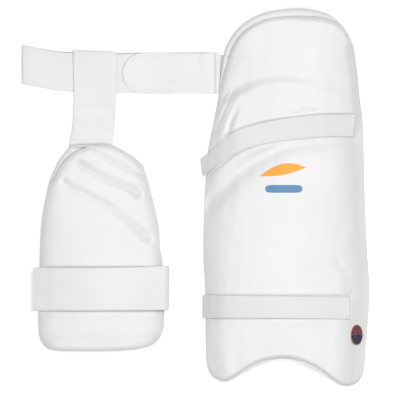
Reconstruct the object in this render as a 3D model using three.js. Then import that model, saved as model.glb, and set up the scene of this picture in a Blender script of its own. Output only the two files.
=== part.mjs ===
// Cricket thigh guard set lying face up: an outer thigh guard with a hip flap and an inner
// thigh guard, both carried by one elastic waist belt. Millimetres, Z up, floor at Z = 0.
import * as THREE from 'three';

// ---------- driving dimensions ----------
const OUTER_X = 106; // centre line of the outer guard
const INNER_X = -111; // centre line of the inner guard
const INSET_X = 0.975; // padded layers stop short of the outline, leaving room for the binding
const INSET_Y = 0.989;
const BINDING_GAP = 0.22; // share of that room kept free between layers and binding
const LINER = 1.6; // leg side fabric
const BASE_LOW = 2.0; // base foam sheet above the leg side
const BASE_HIGH = 6.8;
const BLOCK_LOW = 7.2; // raised foam blocks start here
const COVER = 1.2; // front fabric
const COVER_GAP = 0.7; // free space between blocks and front fabric
const EDGE = 8.4; // total height of the padded layers at their edge
const BINDING_HEIGHT = 8.8;
const OUTER_ARCH = { half: 82, rise: 35 }; // hollow for the outside of the thigh
const INNER_ARCH = { half: 62, rise: 15 }; // hollow for the inside of the other thigh
const HIP_PIVOT_Z = 39;
const SEAM_GAP = 0.9; // half gap between hip flap and thigh panel where they hinge
const SEAM_SPREAD = 0.105; // the gap widens with the distance below the pivot
const LEG_STRAP = 26; // webbing widths
const INNER_BAND = 51;
const BELT_LOW_Y = 126;
const BELT_HIGH_Y = 174;
const WEB = 1.6; // webbing thickness

const group = new THREE.Group();
group.name = 'thigh_guard_set';

// ---------- materials ----------
const WHITE = 0xf1f1ef;
const SOFT_WHITE = 0xe9e9e7;
const FOAM = 0xd9dad6;
const LINER_GREY = 0xe2e3e4;
const HOOK = 0xe6e6e6;
const ORANGE = 0xf0982c;
const BLUE = 0x4f86b5;
const NAVY = 0x1d2240;
const MAROON = 0x7e2c3a;

function addMesh(name, color, geometry, roughness = 0.85) {
  const material = new THREE.MeshStandardMaterial({ color, roughness, metalness: 0 });
  const mesh = new THREE.Mesh(geometry, material);
  mesh.name = name;
  group.add(mesh);
  return mesh;
}

function meshFrom(positions, index) {
  const geometry = new THREE.BufferGeometry();
  geometry.setAttribute('position', new THREE.Float32BufferAttribute(positions, 3));
  geometry.setIndex(index);
  geometry.computeVertexNormals();
  return geometry;
}

// ---------- curves and patches ----------
function curveThrough(points) {
  const path = points.map(([x, y]) => new THREE.Vector3(x, y, 0));
  const curve = new THREE.CatmullRomCurve3(path, false, 'centripetal');
  return (t) => {
    const p = curve.getPointAt(t);
    return [p.x, p.y];
  };
}

// A four-sided patch in plan; every side is a function of 0..1.
function patchPoint(side, u, v) {
  const blend = (k) => {
    const rows = (1 - v) * side.bottom(u)[k] + v * side.top(u)[k];
    const columns = (1 - u) * side.left(v)[k] + u * side.right(v)[k];
    const low = (1 - u) * side.bottom(0)[k] + u * side.bottom(1)[k];
    const high = (1 - u) * side.top(0)[k] + u * side.top(1)[k];
    return rows + columns - (1 - v) * low - v * high;
  };
  return [blend(0), blend(1)];
}

// Stacked patches share their common side, so the rows of one grid follow the stitched grooves.
function stackPatches(patches, columns) {
  const rows = [];
  patches.forEach((patch, k) => {
    patch.rows.forEach((v, j) => {
      if (k > 0 && j === 0) return;
      rows.push(columns.map((u) => patchPoint(patch, u, v)));
    });
  });
  return rows;
}

function archHeight(arch, x) {
  const radius = (arch.half ** 2 + arch.rise ** 2) / (2 * arch.rise);
  const reach = Math.min(Math.abs(x), arch.half);
  return Math.sqrt(radius ** 2 - reach ** 2) - (radius - arch.rise);
}

// ---------- closed solids from grids and strips ----------
// nodes[j][i] = [x, y, low z, high z]; columns run to +X and rows to +Y.
function slab(name, color, nodes) {
  const rows = nodes.length;
  const columns = nodes[0].length;
  const positions = [];
  const index = [];
  const at = (j, i, high) => (j * columns + i) * 2 + high;
  for (const row of nodes) {
    for (const [x, y, low, high] of row) positions.push(x, y, low, x, y, high);
  }
  for (let j = 0; j < rows - 1; j += 1) {
    for (let i = 0; i < columns - 1; i += 1) {
      index.push(at(j, i, 1), at(j, i + 1, 1), at(j + 1, i + 1, 1));
      index.push(at(j, i, 1), at(j + 1, i + 1, 1), at(j + 1, i, 1));
      index.push(at(j, i, 0), at(j + 1, i + 1, 0), at(j, i + 1, 0));
      index.push(at(j, i, 0), at(j + 1, i, 0), at(j + 1, i + 1, 0));
    }
  }
  const wall = (a, b) => {
    index.push(at(...a, 0), at(...b, 0), at(...b, 1));
    index.push(at(...a, 0), at(...b, 1), at(...a, 1));
  };
  for (let i = 0; i < columns - 1; i += 1) {
    wall([0, i], [0, i + 1]);
    wall([rows - 1, i + 1], [rows - 1, i]);
  }
  for (let j = 0; j < rows - 1; j += 1) {
    wall([j, columns - 1], [j + 1, columns - 1]);
    wall([j + 1, 0], [j, 0]);
  }
  return addMesh(name, color, meshFrom(positions, index));
}

// stations[k] = four corners of one cross-section, anticlockwise seen from the far end.
function sweep(name, color, stations) {
  const positions = [];
  const index = [];
  for (const corners of stations) {
    for (const corner of corners) positions.push(...corner);
  }
  for (let k = 0; k < stations.length - 1; k += 1) {
    for (let c = 0; c < 4; c += 1) {
      const a = k * 4 + c;
      const b = k * 4 + ((c + 1) % 4);
      index.push(a, b, b + 4, a, b + 4, a + 4);
    }
  }
  const last = (stations.length - 1) * 4;
  index.push(0, 2, 1, 0, 3, 2);
  index.push(last, last + 1, last + 2, last, last + 2, last + 3);
  const geometry = meshFrom(positions, index);
  if (signedVolume(positions, index) < 0) {
    for (let k = 0; k < index.length; k += 3) [index[k + 1], index[k + 2]] = [index[k + 2], index[k + 1]];
    geometry.setIndex(index);
    geometry.computeVertexNormals();
  }
  return addMesh(name, color, geometry);
}

function signedVolume(positions, index) {
  const corner = (k) => new THREE.Vector3(...positions.slice(index[k] * 3, index[k] * 3 + 3));
  let total = 0;
  for (let k = 0; k < index.length; k += 3) {
    total += corner(k).dot(corner(k + 1).cross(corner(k + 2)));
  }
  return total / 6;
}

// A webbing strip: centre points, unit directions across it, half widths and a thickness.
function ribbon(name, color, points, thickness) {
  const stations = points.map((point, k) => {
    const before = points[Math.max(k - 1, 0)];
    const after = points[Math.min(k + 1, points.length - 1)];
    const left = new THREE.Vector3(...point.left);
    const right = new THREE.Vector3(...point.right);
    const along = middle(after).sub(middle(before));
    const normal = along.cross(right.clone().sub(left)).normalize().multiplyScalar(thickness / 2);
    const corners = [left.clone().sub(normal), right.clone().sub(normal)];
    corners.push(right.clone().add(normal), left.clone().add(normal));
    return corners.map((p) => p.toArray());
  });
  return sweep(name, color, stations);
}

function middle(point) {
  return new THREE.Vector3(...point.left).add(new THREE.Vector3(...point.right)).multiplyScalar(0.5);
}

// Strip that runs along X with its edges at constant or given Y.
function beltRibbon(name, color, path, lowY, highY, thickness) {
  const points = path.map(([x, z]) => ({ left: [x, lowY(x), z], right: [x, highY(x), z] }));
  return ribbon(name, color, points, thickness);
}

// ---------- guards: plan outlines ----------
// Height above the leg side is the smaller of a profile across and a profile along.
function makeGuard({ patches, columns, across, along, arch, centre }) {
  const rows = stackPatches(patches, columns);
  const nodes = rows.map((row, j) => row.map(([x, y], i) => {
    const shrunk = x * INSET_X;
    return {
      edge: [x, y],
      x: shrunk,
      y: y * INSET_Y,
      foot: archHeight(arch, shrunk),
      height: Math.min(across[i], along[j]),
      bridged: across[i],
    };
  }));
  return { nodes, arch, centre };
}

function layer(guard, name, color, low, high, range = {}) {
  const { nodes, centre } = guard;
  const i0 = range.i0 ?? 0;
  const i1 = range.i1 ?? nodes[0].length - 1;
  const j0 = range.j0 ?? 0;
  const j1 = range.j1 ?? nodes.length - 1;
  const inset = range.inset ?? 0;
  const full = nodes.map((row) => row.map((n) => [n.x + centre, n.y, n.foot + low(n), n.foot + high(n)]));
  const cut = [];
  for (let j = j0; j <= j1; j += 1) cut.push(full[j].slice(i0, i1 + 1));
  const move = (from, to) => from.map((value, k) => value + (to[k] - value) * inset);
  const trimmed = cut.map((row) => {
    const last = row.length - 1;
    return row.map((node, i) => {
      if (i === 0) return move(node, row[1]);
      if (i === last) return move(node, row[last - 1]);
      return node;
    });
  });
  const end = trimmed.length - 1;
  const result = trimmed.map((row, j) => row.map((node, i) => {
    if (j === 0) return move(node, trimmed[1][i]);
    if (j === end) return move(node, trimmed[end - 1][i]);
    return node;
  }));
  return slab(name, color, result);
}

// Edge binding along the given grid positions [j, i].
function binding(guard, name, color, route) {
  const { nodes, centre, arch } = guard;
  const stations = route.map(([j, i]) => {
    const node = nodes[j][i];
    const outer = node.edge;
    const inner = [node.x, node.y].map((value, k) => value + (outer[k] - value) * BINDING_GAP);
    const foot = archHeight(arch, outer[0]);
    const top = foot + BINDING_HEIGHT;
    return [
      [inner[0] + centre, inner[1], foot],
      [outer[0] + centre, outer[1], foot],
      [outer[0] + centre, outer[1], top],
      [inner[0] + centre, inner[1], top],
    ];
  });
  return sweep(name, color, stations);
}

// Height of the front at a point; bridged heights run straight over the grooves.
function surfaceHeight(guard, x, y, kind = 'height') {
  const { nodes, centre } = guard;
  const px = x - centre;
  for (let j = 0; j < nodes.length - 1; j += 1) {
    for (let i = 0; i < nodes[0].length - 1; i += 1) {
      const a = nodes[j][i];
      const b = nodes[j][i + 1];
      const c = nodes[j + 1][i + 1];
      const d = nodes[j + 1][i];
      const hit = insideHeight(a, b, c, px, y, kind) ?? insideHeight(a, c, d, px, y, kind);
      if (hit !== null) return hit;
    }
  }
  return null;
}

// Beyond the outline the height falls away steeply from that of the nearest edge.
function heightNearEdge(guard, x, y) {
  const step = x < guard.centre ? 0.5 : -0.5;
  let reach = 0;
  let z = surfaceHeight(guard, x, y, 'bridged');
  while (z === null) {
    reach += 1;
    z = surfaceHeight(guard, x + reach * step, y, 'bridged');
  }
  return z - reach * Math.abs(step) * 1.6;
}

function insideHeight(a, b, c, x, y, kind) {
  const area = (b.x - a.x) * (c.y - a.y) - (c.x - a.x) * (b.y - a.y);
  const s = ((x - a.x) * (c.y - a.y) - (c.x - a.x) * (y - a.y)) / area;
  const t = ((b.x - a.x) * (y - a.y) - (x - a.x) * (b.y - a.y)) / area;
  if (s < -1e-6 || t < -1e-6 || s + t > 1 + 1e-6) return null;
  const top = (n) => n.foot + n[kind];
  return top(a) + s * (top(b) - top(a)) + t * (top(c) - top(a));
}

// ---------- outer guard ----------
function seamPoints(direction) {
  const line = [[-79, 113], [-57, 128], [-32, 139], [-3, 143], [35, 138], [74, 124], [88, 112]];
  return line.map(([x, y]) => {
    const gap = SEAM_GAP + SEAM_SPREAD * (OUTER_ARCH.rise - archHeight(OUTER_ARCH, x));
    return [x, y + direction * gap];
  });
}

const OUTER_COLUMNS = [0, 0.04, 0.09, 0.17, 0.28, 0.39, 0.5, 0.61, 0.72, 0.82, 0.88, 0.955, 1];
const OUTER_ACROSS = [EDGE, 21, 26, 27, 27, 27, 27, 27, 27, 27, 25, 14, EDGE];

const lowerGroove = [[-96, -14], [-73.5, 9], [-55, 29], [-26, 49], [9, 63], [45, 68], [92, 70]];
const thighSeam = seamPoints(-1);
const hipSeam = seamPoints(1);
const thighSeamLeft = thighSeam[0];
const thighSeamRight = thighSeam[6];
const hipSeamLeft = hipSeam[0];
const hipSeamRight = hipSeam[6];

const MAIN_ROWS = [0, 0.04, 0.12, 0.25, 0.38, 0.51, 0.64, 0.77, 0.88, 0.96, 1];
const MID_ROWS = [0, 0.11, 0.36, 0.64, 0.89, 1];
const HIP_ROWS = [0, 0.1, 0.35, 0.6, 0.8, 0.88, 0.895, 1];
const GROOVE_ROW = MAIN_ROWS.length - 1;
const SEAM_ROW = GROOVE_ROW + MID_ROWS.length - 1;

const mainPatch = {
  bottom: curveThrough([
    [-89, -208], [-81, -215], [-70, -218], [-53, -210], [-35, -200], [-4, -191], [27, -200],
    [52, -215], [70, -223], [82, -221], [91, -212],
  ]),
  top: curveThrough(lowerGroove),
  left: curveThrough([[-89, -208], [-93.4, -190], [-94.4, -113], [-96.4, -69], [-96, -14]]),
  right: curveThrough([[91, -212], [94, -190], [96, -162], [99, -112], [96, -60], [93.5, 0], [92, 70]]),
  rows: MAIN_ROWS,
};
const midPatch = {
  bottom: mainPatch.top,
  top: curveThrough(thighSeam),
  left: curveThrough([[-96, -14], [-94, 18], [-91, 55], [-86, 80], thighSeamLeft]),
  right: curveThrough([[92, 70], [91, 89], thighSeamRight]),
  rows: MID_ROWS,
};
const hipPatch = {
  bottom: curveThrough(hipSeam),
  top: curveThrough([
    [-74, 161], [-63.5, 189], [-45, 208], [-21, 218], [12, 223], [38, 220], [58, 211], [73, 195], [81, 175],
  ]),
  left: curveThrough([hipSeamLeft, [-77, 140], [-74, 161]]),
  right: curveThrough([hipSeamRight, [85, 145], [81, 175]]),
  rows: HIP_ROWS,
};

const thigh = makeGuard({
  patches: [mainPatch, midPatch],
  columns: OUTER_COLUMNS,
  across: OUTER_ACROSS,
  along: [EDGE, 22, 26, 27, 27, 27, 27, 27, 27, 26, 13, 26, 27, 27, 26, EDGE],
  arch: OUTER_ARCH,
  centre: OUTER_X,
});
const hip = makeGuard({
  patches: [hipPatch],
  columns: OUTER_COLUMNS,
  across: OUTER_ACROSS,
  along: [EDGE, 25, 27, 26, 24, EDGE, EDGE, EDGE],
  arch: OUTER_ARCH,
  centre: OUTER_X,
});

function guardLayers(guard, prefix, coverRange) {
  layer(guard, `${prefix}_liner`, LINER_GREY, () => 0, () => LINER);
  layer(guard, `${prefix}_base_foam`, FOAM, () => BASE_LOW, () => BASE_HIGH);
  layer(guard, `${prefix}_cover`, WHITE, (n) => n.height - COVER, (n) => n.height, coverRange);
}

function foamBlock(guard, name, range) {
  const top = (n) => n.height - COVER - COVER_GAP;
  layer(guard, name, FOAM, () => BLOCK_LOW, top, { inset: 0.06, ...range });
}

function edgeRoute(lastRow, lastColumn) {
  const route = [];
  for (let j = lastRow; j > 0; j -= 1) route.push([j, 0]);
  for (let i = 0; i < lastColumn; i += 1) route.push([0, i]);
  for (let j = 0; j <= lastRow; j += 1) route.push([j, lastColumn]);
  return route;
}

function outerThigh() {
  const lastColumn = OUTER_COLUMNS.length - 1;
  guardLayers(thigh, 'thigh', {});
  foamBlock(thigh, 'main_foam_block', { i0: 1, i1: 10, j0: 1, j1: GROOVE_ROW - 1 });
  foamBlock(thigh, 'mid_foam_block', { i0: 2, i1: 10, j0: GROOVE_ROW + 1, j1: SEAM_ROW - 1 });
  foamBlock(thigh, 'left_wing_foam', { i0: 1, i1: 2, j0: GROOVE_ROW + 1, j1: SEAM_ROW - 1 });
  foamBlock(thigh, 'right_wing_foam', { i0: 10, i1: 11, j0: 1, j1: GROOVE_ROW - 1 });
  binding(thigh, 'thigh_binding', SOFT_WHITE, edgeRoute(SEAM_ROW, lastColumn));
}

function outerHip() {
  const lastColumn = OUTER_COLUMNS.length - 1;
  const lastRow = HIP_ROWS.length - 1;
  guardLayers(hip, 'hip', { j1: 5 });
  foamBlock(hip, 'hip_foam_block', { i0: 1, i1: 10, j0: 1, j1: 4 });
  layer(hip, 'hip_rim_roll', SOFT_WHITE, () => BLOCK_LOW, () => 13.5, { j0: 6, j1: 7 });
  const route = [];
  for (let j = 0; j < lastRow; j += 1) route.push([j, 0]);
  for (let i = 0; i < lastColumn; i += 1) route.push([lastRow, i]);
  for (let j = lastRow; j >= 0; j -= 1) route.push([j, lastColumn]);
  binding(hip, 'hip_binding', SOFT_WHITE, route);
}

// ---------- inner guard ----------
const INNER_COLUMNS = [0, 0.06, 0.14, 0.27, 0.42, 0.58, 0.73, 0.86, 0.94, 1];
const INNER_ACROSS = [EDGE, 17, 23, 26, 26, 26, 26, 24, 18, EDGE];
const LOW_BLOCK_ROWS = [0, 0.05, 0.25, 0.5, 0.75, 0.96, 1];
const MIDDLE_BLOCK_ROWS = [0, 0.15, 0.85, 1];
const UPPER_BLOCK_ROWS = [0, 0.25, 0.75, 1];
const TOP_BLOCK_ROWS = [0, 0.35, 0.65, 1];

function fromCentre(points) {
  return curveThrough(points.map(([x, y]) => [x - INNER_X, y]));
}

const innerGroove1 = [[-174, 12], [-155, 16], [-131, 4], [-100, -13], [-68, -38], [-55, -50], [-41.5, -62]];
const innerGroove2 = [[-161, 43], [-136, 37], [-115, 27], [-86, 14], [-68, 3], [-49, -8]];
const innerGroove3 = [[-151, 55], [-131, 55.5], [-110, 50], [-82, 35], [-56, 20]];

const innerLow = {
  bottom: fromCentre([[-181, -175], [-164, -183], [-103, -183.5], [-62, -180.5], [-44, -171]]),
  top: fromCentre(innerGroove1),
  left: fromCentre([[-181, -175], [-185.5, -157], [-185, -100], [-182, -30], [-174, 12]]),
  right: fromCentre([[-44, -171], [-38, -150], [-38.5, -110], [-41.5, -62]]),
  rows: LOW_BLOCK_ROWS,
};
const innerMiddle = {
  bottom: innerLow.top,
  top: fromCentre(innerGroove2),
  left: fromCentre([[-174, 12], [-168, 28], [-161, 43]]),
  right: fromCentre([[-41.5, -62], [-44, -35], [-49, -8]]),
  rows: MIDDLE_BLOCK_ROWS,
};
const innerUpper = {
  bottom: innerMiddle.top,
  top: fromCentre(innerGroove3),
  left: fromCentre([[-161, 43], [-151, 55]]),
  right: fromCentre([[-49, -8], [-56, 20]]),
  rows: UPPER_BLOCK_ROWS,
};
const innerTop = {
  bottom: innerUpper.top,
  top: fromCentre([[-147, 60.5], [-122, 61.5], [-98, 60.5], [-78, 50], [-62, 38]]),
  left: fromCentre([[-151, 55], [-147, 60.5]]),
  right: fromCentre([[-56, 20], [-62, 38]]),
  rows: TOP_BLOCK_ROWS,
};

const inner = makeGuard({
  patches: [innerLow, innerMiddle, innerUpper, innerTop],
  columns: INNER_COLUMNS,
  across: INNER_ACROSS,
  along: [EDGE, 18, 25, 26, 26, 25, 14, 24, 24, 14, 23, 23, 14, 18, 16, EDGE],
  arch: INNER_ARCH,
  centre: INNER_X,
});

function innerGuard() {
  const lastColumn = INNER_COLUMNS.length - 1;
  const lastRow = inner.nodes.length - 1;
  guardLayers(inner, 'inner', {});
  foamBlock(inner, 'inner_foam_low', { i0: 1, i1: 8, j0: 1, j1: 5 });
  foamBlock(inner, 'inner_foam_middle', { i0: 1, i1: 8, j0: 7, j1: 8 });
  foamBlock(inner, 'inner_foam_upper', { i0: 1, i1: 8, j0: 10, j1: 11 });
  foamBlock(inner, 'inner_foam_top', { i0: 3, i1: 8, j0: 13, j1: 14 });
  const route = edgeRoute(lastRow, lastColumn);
  for (let i = lastColumn - 1; i > 0; i -= 1) route.push([lastRow, i]);
  closedBinding(inner, 'inner_binding', SOFT_WHITE, route);
}

// Same binding as above, closed into a ring.
function closedBinding(guard, name, color, route) {
  const { nodes, centre, arch } = guard;
  const positions = [];
  const index = [];
  for (const [j, i] of route) {
    const node = nodes[j][i];
    const outer = node.edge;
    const near = [node.x, node.y].map((value, k) => value + (outer[k] - value) * BINDING_GAP);
    const foot = archHeight(arch, outer[0]);
    const top = foot + BINDING_HEIGHT;
    positions.push(near[0] + centre, near[1], foot, outer[0] + centre, outer[1], foot);
    positions.push(outer[0] + centre, outer[1], top, near[0] + centre, near[1], top);
  }
  const count = route.length;
  for (let k = 0; k < count; k += 1) {
    const next = ((k + 1) % count) * 4;
    for (let c = 0; c < 4; c += 1) {
      const a = k * 4 + c;
      const b = k * 4 + ((c + 1) % 4);
      const bNext = next + ((c + 1) % 4);
      index.push(a, bNext, b, a, next + c, bNext);
    }
  }
  if (signedVolume(positions, index) < 0) {
    for (let k = 0; k < index.length; k += 3) [index[k + 1], index[k + 2]] = [index[k + 2], index[k + 1]];
  }
  addMesh(name, color, meshFrom(positions, index));
}

// ---------- straps over the front ----------
// A strip laid over a guard: plan centre points, each edge resting on the front surface.
// A third number fixes the height instead, and a fourth one lifts the strip further.
function laidStrip(guard, path, halfWidth, lift) {
  return path.map(([x, y, fixed, extra = 0], k) => {
    const before = path[Math.max(k - 1, 0)];
    const after = path[Math.min(k + 1, path.length - 1)];
    const length = Math.hypot(after[0] - before[0], after[1] - before[1]);
    const nx = -(after[1] - before[1]) / length;
    const ny = (after[0] - before[0]) / length;
    const place = (side) => {
      const px = x + OUTER_X + side * nx * halfWidth;
      const py = y + side * ny * halfWidth;
      const z = fixed ?? heightNearEdge(guard, px, py);
      return [px, py, z + lift + extra];
    };
    return { left: place(-1), right: place(1) };
  });
}

// The same, from pairs of edge points.
function laidEdges(guard, pairs, lift) {
  return pairs.map(([low, high, extra]) => {
    const place = ([x, y]) => [x + OUTER_X, y, heightNearEdge(guard, x + OUTER_X, y) + lift + extra];
    return { left: place(low), right: place(high) };
  });
}

function legStraps() {
  const half = LEG_STRAP / 2;
  const lowerY = -130;
  const over = [-84, -78, -70, -62, -52, -41, -31, -21, -10, 0, 10, 20];
  const lowerRoot = [[-96.6, lowerY, 0.8], [-96.6, lowerY, 8.2]];
  const lower = [[-95.9, lowerY, 9.4], [-90.6, lowerY, 18.2]].concat(over.map((x) => [x, lowerY]));
  const lowerEnd = [22, 31, 41, 50, 59, 66, 71].map((x) => [x, lowerY]).concat([[75.5, lowerY, 34.6]]);
  uprightRoot('lower_strap_root', lowerRoot, half);
  ribbon('lower_strap', WHITE, laidStrip(thigh, lower, half, 1.9), WEB);
  ribbon('lower_hook_patch', HOOK, laidStrip(thigh, lowerEnd.slice(0, -2), half - 1.5, 1.5), 1);
  ribbon('lower_strap_end', WHITE, laidStrip(thigh, lowerEnd, half, 3.3), WEB);

  // Pairs of low and high edge points, then how far the webbing stands off the surface.
  const fold = { low: [-96.6, 22.5], high: [-99, 44.5] };
  const upper = [
    [[-95.6, 23.5], [-98.2, 45.2], 9.5], [[-88.5, 30.5], [-91, 51], 5.5], [[-80, 38.5], [-83.5, 57.5], 6],
    [[-70, 45.5], [-75, 65.5], 4.5], [[-60, 50.5], [-66, 73], 3], [[-50, 55], [-54, 79], 1.5],
    [[-38, 58.6], [-41, 83], 0.5], [[-24, 62.3], [-27, 87], 0], [[-10, 65.2], [-12, 90], 0],
    [[3, 66.7], [2, 92.3], 0], [[11, 67.6], [10, 93.4], 0], [[20.5, 68.6], [20, 94.6], 0],
  ];
  const upperEnd = [[22, 82], [31, 82.8], [41, 83.4], [50, 83.6], [59, 83.6], [66, 83.6], [71, 83.6], [79, 83.6, 29.5]];
  const rootAt = (z) => ({ left: [fold.low[0] + OUTER_X, fold.low[1], z], right: [fold.high[0] + OUTER_X, fold.high[1], z] });
  ribbon('upper_strap_root', SOFT_WHITE, [rootAt(0.8), rootAt(5.4)], WEB);
  ribbon('upper_strap', WHITE, laidEdges(thigh, upper, 2.2), WEB);
  ribbon('upper_hook_patch', HOOK, laidStrip(thigh, upperEnd.slice(0, -3), half - 1.5, 1.5), 1);
  ribbon('upper_strap_end', WHITE, laidStrip(thigh, upperEnd, half, 3.6), WEB);
}

// Short sewn end standing against the edge binding.
function uprightRoot(name, points, half) {
  const stations = points.map(([x, y, z]) => ({
    left: [x + OUTER_X, y - half, z],
    right: [x + OUTER_X, y + half, z],
  }));
  ribbon(name, SOFT_WHITE, stations, WEB);
}

function innerBand() {
  const half = INNER_BAND / 2;
  const y = -109;
  const low = () => y - half;
  const high = () => y + half;
  const shift = (path) => path.map(([x, z]) => [x + INNER_X, z]);
  const root = shift([[75.4, 1], [75.4, 8.4]]);
  const over = shift([
    [75, 10], [66.5, 21.4], [53, 33], [33.5, 40.2], [11, 43.3], [-12.6, 43.2], [-35, 39.6], [-54.5, 30.8],
    [-66, 22.2], [-79.5, 15.2],
  ]);
  const hook = shift([[-26, 39.1], [-34, 37.8], [-46, 32.8], [-53, 29.4], [-58, 25.8]]);
  beltRibbon('inner_band_root', SOFT_WHITE, root, low, high, WEB);
  beltRibbon('inner_band', WHITE, over, low, high, WEB);
  beltRibbon('inner_band_hook', HOOK, hook, () => y - half + 3, () => y + half - 3, 0.8);
}

// ---------- waist belt ----------
function beltShift(x) {
  return x < -150 ? 5.5 * ((-150 - x) / 55) ** 1.3 : 0;
}

function waistBelt() {
  const low = (x) => BELT_LOW_Y + beltShift(x);
  const high = (x) => BELT_HIGH_Y + beltShift(x);
  const hairpin = [
    [17, 2.2], [10, 1.6], [0, 1.2], [-20, 1], [-70, 1], [-150, 1], [-175, 1], [-198, 1], [-202.4, 1.7],
    [-203.6, 3.2], [-202.4, 4.7], [-198, 5.4], [-175, 5.4], [-150, 5.4], [-70, 5.4], [-8, 5.4],
  ];
  beltRibbon('belt', WHITE, hairpin, low, high, WEB);
  beltRibbon('belt_anchor_patch', SOFT_WHITE, [[19, 2.2], [29, 2.3], [34, 6.4], [41, 12], [48, 16.6], [56, 20.8]],
    () => 130, () => 170, 1.4);
}

function beltTab() {
  const middleY = (BELT_LOW_Y + BELT_HIGH_Y) / 2 - 4.5;
  const half = 24;
  const radius = 24;
  const tip = -86;
  const halfAt = (x) => {
    const reach = Math.min(x - tip, radius);
    return half - radius + Math.sqrt(radius ** 2 - (radius - reach) ** 2);
  };
  const plan = [-85.6, -83.5, -80, -75, -69, -62, -40, -20, -6];
  const low = (x) => middleY - halfAt(x);
  const high = (x) => middleY + halfAt(x);
  const path = plan.map((x) => [x, 8.8]).concat([[4, 9.6], [12, 11]]);
  beltRibbon('belt_tab', WHITE, path, low, high, WEB);
  const hookPlan = [-80, -75, -69, -62, -40, -26].map((x) => [x, 7.1]);
  beltRibbon('tab_hook_patch', HOOK, hookPlan, (x) => low(x) + 3, (x) => high(x) - 3, 1);
  beltRibbon('tab_root', SOFT_WHITE, [[14, 11.3], [20, 12], [25.8, 12.2]], low, high, WEB);
}

// The hanger loops round the front ply of the belt and carries the inner guard.
function hanger() {
  const outline = new THREE.Shape();
  outline.moveTo(120.5, 2.3);
  outline.lineTo(178.5, 2.3);
  outline.lineTo(178.5, 8.7);
  outline.lineTo(120.5, 8.7);
  outline.closePath();
  const hole = new THREE.Path();
  hole.moveTo(122.3, 4);
  hole.lineTo(122.3, 7.1);
  hole.lineTo(176.7, 7.1);
  hole.lineTo(176.7, 4);
  hole.closePath();
  outline.holes.push(hole);
  const loop = new THREE.ExtrudeGeometry(outline, { depth: 51, bevelEnabled: false });
  loop.rotateX(Math.PI / 2);
  loop.rotateZ(Math.PI / 2);
  loop.translate(-144, 0, 0);
  addMesh('hanger_loop', WHITE, loop);

  const strap = [
    { left: [-143.5, 119.4, 5.5], right: [-93, 119.4, 5.5] },
    { left: [-144, 93, 7.2], right: [-95, 93, 7.2] },
    { left: [-148, 63.2, 9], right: [-98, 63.2, 9] },
  ];
  ribbon('hanger_strap', WHITE, strap, 2.2);
  const patch = [
    { left: [-142, 108, 8], right: [-96, 108, 8] },
    { left: [-142, 92, 8.9], right: [-96.5, 92, 8.9] },
  ];
  ribbon('hanger_stitch_patch', SOFT_WHITE, patch, 0.8);
  const stub = [
    { left: [-147, 60.8, 9], right: [-98.5, 60.8, 9] },
    { left: [-145, 32, 9], right: [-99, 32, 9] },
  ];
  ribbon('inner_hanger_stub', SOFT_WHITE, stub, 1.6);
}

// ---------- generic marks ----------
// Thin printed shapes that follow the front surface of the main panel.
function printedMark(name, color, centreX, centreY, length, halfHeight, slant) {
  const nodes = [[], []];
  const steps = 10;
  for (let i = 0; i <= steps; i += 1) {
    const s = (2 * i) / steps - 1;
    const x = centreX + (length / 2) * s + OUTER_X;
    [-1, 1].forEach((side, row) => {
      const y = centreY + slant * s + side * halfHeight(s);
      const z = surfaceHeight(thigh, x, y) + 0.4;
      nodes[row].push([x, y, z, z + 0.5]);
    });
  }
  slab(name, color, nodes);
}

function marks() {
  printedMark('emblem_leaf', ORANGE, -3, 31, 54, (s) => 0.6 + 6 * (1 - s * s), 5);
  printedMark('emblem_bar', BLUE, -2, 9, 44, (s) => 2.6 + 1.9 * Math.sqrt(1 - Math.min(1, s ** 6)), 0);
  badgeHalf('badge_lower', NAVY, Math.PI, 2 * Math.PI);
  badgeHalf('badge_upper', MAROON, 0, Math.PI);
}

// Half discs on the falling right side of the main panel.
function badgeHalf(name, color, start, end) {
  const x = 80.2;
  const y = -163;
  const run = 3;
  const here = surfaceHeight(thigh, x + OUTER_X, y);
  const slope = (surfaceHeight(thigh, x + run + OUTER_X, y) - surfaceHeight(thigh, x - run + OUTER_X, y)) / (2 * run);
  const tilt = Math.atan(slope);
  const shape = new THREE.Shape();
  shape.absarc(0, start === 0 ? 0.25 : -0.25, 11, start, end, false);
  shape.closePath();
  const disc = new THREE.ExtrudeGeometry(shape, { depth: 0.8, bevelEnabled: false, curveSegments: 12 });
  disc.translate(0, 0, 1.1);
  disc.rotateY(-tilt);
  disc.translate(x + OUTER_X, y, here);
  addMesh(name, color, disc, 0.5);
}

outerThigh();
outerHip();
innerGuard();
legStraps();
innerBand();
waistBelt();
beltTab();
hanger();
marks();

export default group;
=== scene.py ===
import math

import bmesh
import bpy
import numpy as np
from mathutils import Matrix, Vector, kdtree


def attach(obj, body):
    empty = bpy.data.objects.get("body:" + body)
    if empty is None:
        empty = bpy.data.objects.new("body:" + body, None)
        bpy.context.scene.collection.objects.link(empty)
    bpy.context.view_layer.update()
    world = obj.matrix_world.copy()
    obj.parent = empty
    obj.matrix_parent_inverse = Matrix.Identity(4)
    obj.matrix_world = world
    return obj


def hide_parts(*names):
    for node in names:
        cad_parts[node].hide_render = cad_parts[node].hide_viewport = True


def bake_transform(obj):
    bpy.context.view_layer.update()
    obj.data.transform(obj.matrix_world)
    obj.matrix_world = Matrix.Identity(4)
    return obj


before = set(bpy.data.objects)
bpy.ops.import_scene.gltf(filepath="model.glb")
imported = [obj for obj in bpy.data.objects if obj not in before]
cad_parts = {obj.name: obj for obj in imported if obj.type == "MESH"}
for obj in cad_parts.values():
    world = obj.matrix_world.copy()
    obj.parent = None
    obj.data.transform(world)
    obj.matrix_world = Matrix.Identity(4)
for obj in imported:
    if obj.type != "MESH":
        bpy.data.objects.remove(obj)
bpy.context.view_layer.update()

# ---------- main sizes, millimetres ----------
MM = 0.001
OUTER_X = 106.0  # centre line of the outer guard
INNER_X = -111.0  # centre line of the inner guard
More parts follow.
